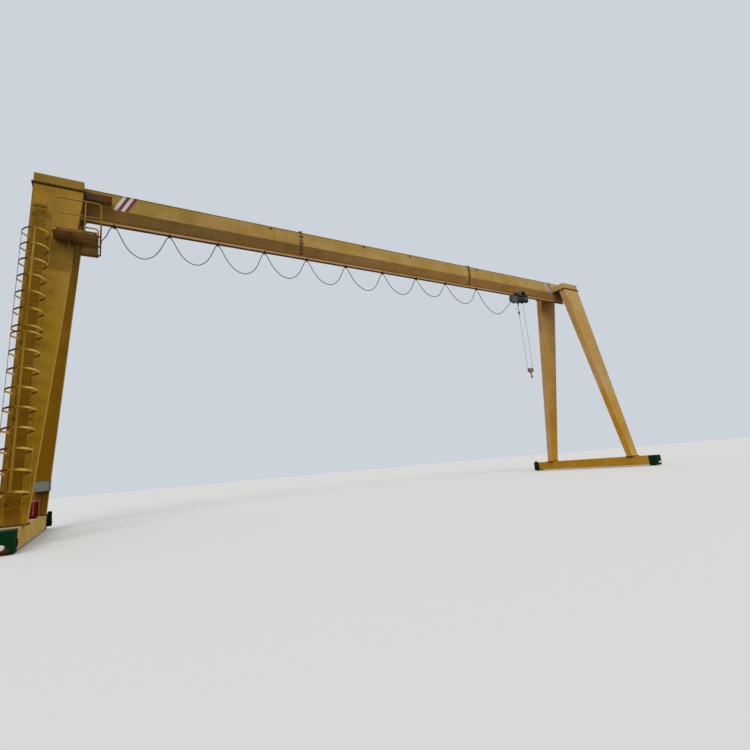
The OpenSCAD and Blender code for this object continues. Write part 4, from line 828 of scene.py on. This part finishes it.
# the cable hangs in loops, each a smooth line through the route's points from one clamp's middle to the next
def makeFestoon(s):
    route = np.array(s["points"])
    clamped = route[:, 2] == s["clampZ"]
    pairs = [k for k in range(1, len(route) - 1) if clamped[k] and clamped[k + 1]]
    middles = [(route[k] + route[k + 1]) / 2 for k in pairs]
    total = 0.0
    for i in range(len(middles) + 1):
        first = route[:1] if i == 0 else middles[i - 1][None]
        last = route[-1:] if i == len(middles) else middles[i][None]
        inner = route[(1 if i == 0 else pairs[i - 1] + 2):(len(route) - 1 if i == len(middles) else pairs[i])]
        startDirection = route[1] - route[0] if i == 0 else (1, 0, 0)
        endDirection = route[-1] - route[-2] if i == len(middles) else (1, 0, 0)
        if i > 0:
            inner = np.concatenate([clampBend(first[0], inner[0], 1, s["bend"]), inner])
        if i == 0:
            start = last[0] - [s["firstRun"], 0, 0]
            inner = np.concatenate([inner[:-1], clampBend(start, inner[-2], -1, s["bend"])[::-1], start[None]])
        elif i < len(middles):
            inner = np.concatenate([inner, clampBend(last[0], inner[-1], -1, s["bend"])[::-1]])
        fine = splinePath(np.concatenate([first, inner, last]), startDirection, endDirection, 900)
        path = thinPath(fine, s["pathPoints"])
        points, quads, caps = tubeShape(path, s["diameter"] / 2, 12, (1, 0.2, 0) if i == 0 else (0, 1, 0))
        piece = makePiece("cable_loop_%02d" % i, points, quads, caps, cableRubber, smooth=True)
        if i == 0:
            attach(piece, "gantry")
        else:
            shareTravel(piece)
        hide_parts("festoon_cable")
        total += pathLength(path)
    for i, m in enumerate(middles):
        points, quads, caps = hangerShape(m[0], s, hangerSet)
        piece = makePiece("cable_hanger_%02d" % i, points, quads, caps, darkPaint)
        if i == 0:
            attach(piece, "gantry")
        else:
            shareTravel(piece)
        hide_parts("festoon_hangers")
    makeReliefs(route, s)
    print("festoon done:", len(middles) + 1, "lengths,", round(total, 2), "m")


makeFestoon(festoonSet)


# wire rope

ropeSet = {"diameter": 0.016, "falls": (8.91, 9.35), "block": (9.13, 0.0, 5.66), "top": 9.606,
           "tread": 0.107, "lay": 0.105, "strands": 6}


# six-strand rope: the radius dips between strands that wind round the path once per lay length
def ropeShape(path, s, sides=36):
    path = np.asarray(path, float)
    along, across, upright = pathFrames(path, (0, 1, 0))
    run = np.concatenate([[0], np.cumsum(np.linalg.norm(np.diff(path, axis=0), axis=1))])
    a = np.arange(sides) * 2 * np.pi / sides
    phase = s["strands"] / 2 * (a[None] - 2 * np.pi * run[:, None] / s["lay"])
    radius = s["diameter"] / 2 * (0.86 + 0.14 * np.abs(np.cos(phase)))
    ring = np.cos(a)[None, :, None] * across[:, None] + np.sin(a)[None, :, None] * upright[:, None]
    points = path[:, None] + radius[..., None] * ring
    return points.reshape(-1, 3), gridFaces(len(path), sides), endCaps(len(path), sides)


def makeRopes(s):
    bx, by, bz = s["block"]
    centre = (s["falls"][1] - s["falls"][0]) / 2 - s["diameter"] / 2 - s["tread"]
    bend = s["tread"] + s["diameter"] / 2
    for name, x in zip(("rope_fall_left", "rope_fall_right"), s["falls"]):
        z = np.linspace(bz, s["top"], 420)
        path = np.stack([np.full(420, x), np.zeros(420), z], -1)
        piece = makePiece(name, *ropeShape(path, s, 24), material=ropeSteel, smooth=True)
        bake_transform(piece)
        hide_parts("hoist_ropes")
    a = np.linspace(0, np.pi / 2, 30)
    left = np.stack([bx - centre - bend * np.cos(a), 0 * a, bz - bend * np.sin(a)], -1)
    right = np.stack([bx + centre + bend * np.sin(a), 0 * a, bz - bend * np.cos(a)], -1)
    flat = np.stack([np.linspace(bx - centre, bx + centre, 24)[1:-1], np.zeros(22), np.full(22, bz - bend)], -1)
    shape = ropeShape(np.concatenate([left, flat, right]), s)
    piece = makePiece("rope_under_sheaves", *shape, material=ropeSteel, smooth=True)
    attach(piece, "hook_block")
    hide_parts("rope_bight")


makeRopes(ropeSet)
print("ropes done")


# bolts

# washer, chamfered hexagon and any thread's end as one turned grid of twelve columns: the hexagon's rings take
# the corner radius and the flat radius in turn
def boltTemplate(size, thread):
    rings = [(1.15, 0.0, 0), (1.15, 0.12, 0), (1.0, 0.12, 1), (1.0, 0.62, 1), (0.84, 0.74, 0)]
    threaded = [(0.54, 0.76, 0), (0.54, 0.7 + thread, 0), (0.46, 0.76 + thread, 0)]
    rings += threaded if thread else [(0.3, 0.76, 0)]
    a = np.arange(12) * np.pi / 6
    hexagon = np.where(np.arange(12) % 2 == 0, 1.0, math.cos(math.pi / 6))
    radii = [r * size * (hexagon if h else np.ones(12)) for r, z, h in rings]
    heights = [z * size for r, z, h in rings]
    rows = [np.stack([w * np.cos(a), w * np.sin(a), np.full(12, z)], -1) for w, z in zip(radii, heights)]
    count = 12 * len(rings)
    return np.concatenate(rows), gridFaces(len(rings), 12), list(range(count - 12, count))


# copies of the bolt at the places, each standing on its own direction
def makeBolts(name, places, directions, size, body, thread=0.0):
    places, directions = np.asarray(places, float).reshape(-1, 3), np.asarray(directions, float).reshape(-1, 3)
    directions = np.broadcast_to(directions, places.shape)
    template, quads, cap = boltTemplate(size, thread)
    helper = np.where(np.abs(directions[:, 2:]) < 0.9, [[0.0, 0.0, 1.0]], [[1.0, 0.0, 0.0]])
    u = np.cross(helper, directions)
    u /= np.linalg.norm(u, axis=1)[:, None]
    w = np.cross(directions, u)
    basis = np.stack([u, w, directions], 1)
    points = places[:, None] + np.einsum("vk,nkj->nvj", template, basis)
    count = len(template)
    offset = np.arange(len(places)) * count
    allQuads = (quads[None] + offset[:, None, None]).reshape(-1, 4)
    caps = (np.array(cap)[None] + offset[:, None]).tolist()
    piece = makePiece(name, points, allQuads, caps, boltSteel)
    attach(piece, body)


# evenly spaced places from one point to another, both kept
def rowOf(a, b, pitch):
    a, b = np.asarray(a, float), np.asarray(b, float)
    n = max(2, int(round(np.linalg.norm(b - a) / pitch)) + 1)
    return a + (b - a) * np.linspace(0, 1, n)[:, None]


boltSet = {"headZ": 10.525, "headUnder": 10.475, "topHalf": 0.65, "shift": 0.41, "topOut": 0.99, "topIn": 0.645,
           "footTop": 0.545, "footHalf": 0.28, "footOut": 2.67, "footIn": 2.38, "inset": 0.023, "pitch": 0.13,
           "splices": (-4.25, 5.23), "spliceHalf": 0.016,
           "spliceRows": [((0.23, 10.56), (0.23, 11.07), 0.17), ((0.08, 11.13), (0.18, 11.13), 0.12),
                          ((0.125, 10.2), (0.215, 10.47), 0.14)],
           "railX": 13.0, "capOut": 0.24, "capY": 3.57, "capZ": 0.22, "capRing": 0.064,
           "plateOut": 0.22, "plateY": (3.5, 3.65, 3.78), "plateLow": 0.44, "plateHigh": 0.48,
           "legSize": 0.019, "spliceSize": 0.022, "truckSize": 0.012}


def makeStructureBolts(s):
    up, feet = [], []
    for leg in (-1, 1):
        x0, x1 = (leg * (s["railX"] - s["shift"] + way * (s["topHalf"] + s["inset"])) for way in (-1, 1))
        f0, f1 = (leg * (s["railX"] + way * (s["footHalf"] + s["inset"])) for way in (-1, 1))
        for side in (-1, 1):
            yo, yi = side * (s["topOut"] + s["inset"]), side * (s["topIn"] - s["inset"])
            for row in ((x0, yo, x1, yo), (x0, yi, x1, yi)):
                up.append(rowOf((row[0], row[1], 0), (row[2], row[3], 0), s["pitch"]))
            for x in (x0, x1):
                up.append(rowOf((x, yo * 0.93, 0), (x, yi * 1.09, 0), s["pitch"]))
            go, gi = side * (s["footOut"] + s["inset"]), side * (s["footIn"] - s["inset"])
            for row in ((f0, go, f1, go), (f0, gi, f1, gi)):
                start, end = (row[0], row[1], s["footTop"]), (row[2], row[3], s["footTop"])
                feet.append(rowOf(start, end, s["pitch"] * 0.9))
            for x in (f0, f1):
                feet.append(rowOf((x, go * 0.97, s["footTop"]), (x, gi * 1.03, s["footTop"]), s["pitch"]))
    up = np.concatenate(up)
    outer = up[np.abs(up[:, 1]) >= 0.98]
    makeBolts("bolts_saddle_heads", outer + [0, 0, s["headZ"]], (0, 0, 1), s["legSize"], "gantry")
    makeBolts("bolts_saddle_nuts", up + [0, 0, s["headUnder"]], (0, 0, -1), s["legSize"], "gantry", 1.0)
    makeBolts("bolts_feet", np.concatenate(feet), (0, 0, 1), s["legSize"], "gantry", 0.8)
    places, directions = [], []
    for x in s["splices"]:
        edge = np.concatenate([rowOf((0, side * a[0], a[1]), (0, side * b[0], b[1]), pitch)
                               for a, b, pitch in s["spliceRows"] for side in (-1, 1)])
        for d in (-1, 1):
            places.append(edge + [x + d * s["spliceHalf"], 0, 0])
            directions.append(np.broadcast_to([d, 0.0, 0.0], edge.shape))
    makeBolts("bolts_splices", np.concatenate(places), np.concatenate(directions), s["spliceSize"], "gantry", 1.7)
    places, directions = [], []
    a = np.arange(6) * np.pi / 3
    for ex in (-s["railX"], s["railX"]):
        for ey in (-1, 1):
            for sx in (-1, 1):
                y, z = ey * s["capY"] + s["capRing"] * np.cos(a), s["capZ"] + s["capRing"] * np.sin(a)
                cap = np.stack([np.full(6, ex + sx * s["capOut"]), y, z], -1)
                x = ex + sx * s["plateOut"]
                ends = [((x, ey * y, s["plateLow"]), (x, ey * y, s["plateHigh"])) for y in s["plateY"]]
                joint = np.concatenate(ends)
                for rows in (cap, joint):
                    places.append(rows)
                    directions.append(np.broadcast_to([sx * 1.0, 0.0, 0.0], rows.shape))
    makeBolts("bolts_trucks", np.concatenate(places), np.concatenate(directions), s["truckSize"], "gantry")


hoistSet = {"x": 9.0, "rims": (8.608, 9.392), "rimRing": 0.1713, "drumZ": 9.805, "gearFace": 8.42,
            "gearRing": 0.118, "caseFace": -0.235, "case": (8.94, 10.072), "caseRing": 0.1,
            "lidFace": -0.345, "lid": ((8.072, 8.508), (9.472, 9.798))}


# places round a ring about an axis along X at height z, and about one along Y
def ringX(x, z, radius, count, turn=0.0):
    a = np.arange(count) * 2 * np.pi / count + turn
    return np.stack([np.full(count, x), radius * np.cos(a), z + radius * np.sin(a)], -1)


def makeTrolleyBolts(s):
    left, right = (ringX(x, s["drumZ"], s["rimRing"], 16) for x in s["rims"])
    inward = np.repeat([[1.0, 0, 0], [-1.0, 0, 0]], 16, axis=0)
    makeBolts("bolts_drum", np.concatenate([left, right]), inward, 0.0048, "trolley")
    gear = ringX(s["gearFace"], s["drumZ"], s["gearRing"], 8, 0.3)
    makeBolts("bolts_gear", gear, (-1, 0, 0), 0.008, "trolley")
    a = np.radians(np.arange(90, 271, 36))
    cx, cz = s["case"]
    x, z = cx + s["caseRing"] * np.cos(a), cz + s["caseRing"] * np.sin(a)
    arc = np.stack([x, np.full(len(a), s["caseFace"]), z], -1)
    row = np.array([[cx + dx, s["caseFace"], cz + dz] for dx, dz in ((0.06, 0.1), (0.06, -0.1), (0.12, -0.1))])
    lid = np.array([[x, s["lidFace"], z] for x in s["lid"][0] for z in s["lid"][1]])
    makeBolts("bolts_case", np.concatenate([arc, row, lid]), (0, -1, 0), 0.0075, "trolley")


makeStructureBolts(boltSet)
makeTrolleyBolts(hoistSet)
print("bolts done")


# conduits between cabinet, beam and red unit

conduitSet = {"radius": 0.013, "box": (-12.95, 2.075, 1.27), "unit": (-12.95, 1.06, 0.62), "beam": 0.52}


def makeConduits(s):
    x, y, z = s["box"]
    ux, uy, uz = s["unit"]
    lying = s["beam"] + 0.02
    down = splinePath([(x, y, z), (x, y, z - 0.3), (x, y, z - 0.6), (x, y - 0.06, s["beam"] + 0.035),
                       (x, y - 0.4, lying), (x, y - 0.75, lying), (ux, uy - 0.02, lying)],
                      (0, 0, -1), (0, -1, 0), 90)
    slant = splinePath([(x + 0.06, y, z), (x + 0.06, y - 0.03, z - 0.12), (x + 0.04, y - 0.4, z - 0.33),
                        (ux + 0.02, uy + 0.12, uz + 0.14), (ux, uy - 0.03, uz + 0.1)],
                       (0, 0, -1), (0, -1, -0.2), 80)
    fx = x + 0.12
    far = splinePath([(fx, y, z), (fx, y, z - 0.35), (fx, y + 0.02, z - 0.68), (fx, y + 0.3, lying),
                      (fx, 3.05, lying), (fx, 3.4, lying)], (0, 0, -1), (0, 1, 0), 90)
    for name, path in (("conduit_unit", down), ("conduit_slant", slant), ("conduit_drive", far)):
        piece = makePiece(name, *tubeShape(path, s["radius"], 14, (1, 0, 0)), material=darkPaint, smooth=True)
        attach(piece, "gantry")


makeConduits(conduitSet)
print("conduits done")


# stage

stageSet = {"floor": srgb(206, 206, 202), "floorHalf": 160, "floorLight": srgb(104, 101, 95),
            "sky": srgb(204, 211, 219), "skyLight": 0.72, "groundLight": 0.1, "key": 1.75,
            "keyColour": (1.0, 0.985, 0.96), "keySoftness": math.radians(40),
            "keyAngle": (math.radians(56), 0.0, math.radians(-24))}


# 1 for rays that show the floor or the sky itself: from the camera, in gloss or through glass
def seenShare(tree):
    path = put(tree, "ShaderNodeLightPath").outputs
    mirrored = calc(tree, "MAXIMUM", path["Is Glossy Ray"], path["Is Transmission Ray"])
    return calc(tree, "MAXIMUM", path["Is Camera Ray"], mirrored)


# the floor and the sky show pale to the camera and in gloss; other rays meet a duller floor, as outdoors
def makeStage(s):
    half = s["floorHalf"]
    points = [(-half, -half, 0), (half, -half, 0), (half, half, 0), (-half, half, 0)]
    floor = makePiece("floor", points, [[0, 1, 2, 3]])
    material = bpy.data.materials.new("pale floor")
    material.use_nodes = True
    tree = material.node_tree
    shader = tree.nodes["Principled BSDF"]
    tree.links.new(blendColour(tree, seenShare(tree), s["floorLight"], s["floor"]), shader.inputs["Base Color"])
    shader.inputs["Roughness"].default_value = 0.9
    floor.data.materials.append(material)
    world = bpy.data.worlds.new("studio")
    world.use_nodes = True
    bpy.context.scene.world = world
    tree = world.node_tree
    background = tree.nodes["Background"]
    direction = put(tree, "ShaderNodeTexCoord").outputs["Generated"]
    height = put(tree, "ShaderNodeSeparateXYZ", {0: direction}).outputs[2]
    light = scaled(tree, ramp(tree, height, -0.05, 0.12), s["skyLight"], s["groundLight"])
    blue = times(tree, light, 1.04)
    grey = put(tree, "ShaderNodeCombineColor", {0: light, 1: light, 2: blue}).outputs[0]
    tree.links.new(blendColour(tree, seenShare(tree), grey, s["sky"]), background.inputs["Color"])
    background.inputs["Strength"].default_value = 1.0
    key = bpy.data.lights.new("key", "SUN")
    key.energy, key.angle, key.color = s["key"], s["keySoftness"], s["keyColour"]
    lamp = bpy.data.objects.new("key", key)
    bpy.context.scene.collection.objects.link(lamp)
    lamp.rotation_euler = s["keyAngle"]


makeStage(stageSet)
bpy.context.scene.view_settings.view_transform = "Standard"
print("stage done")
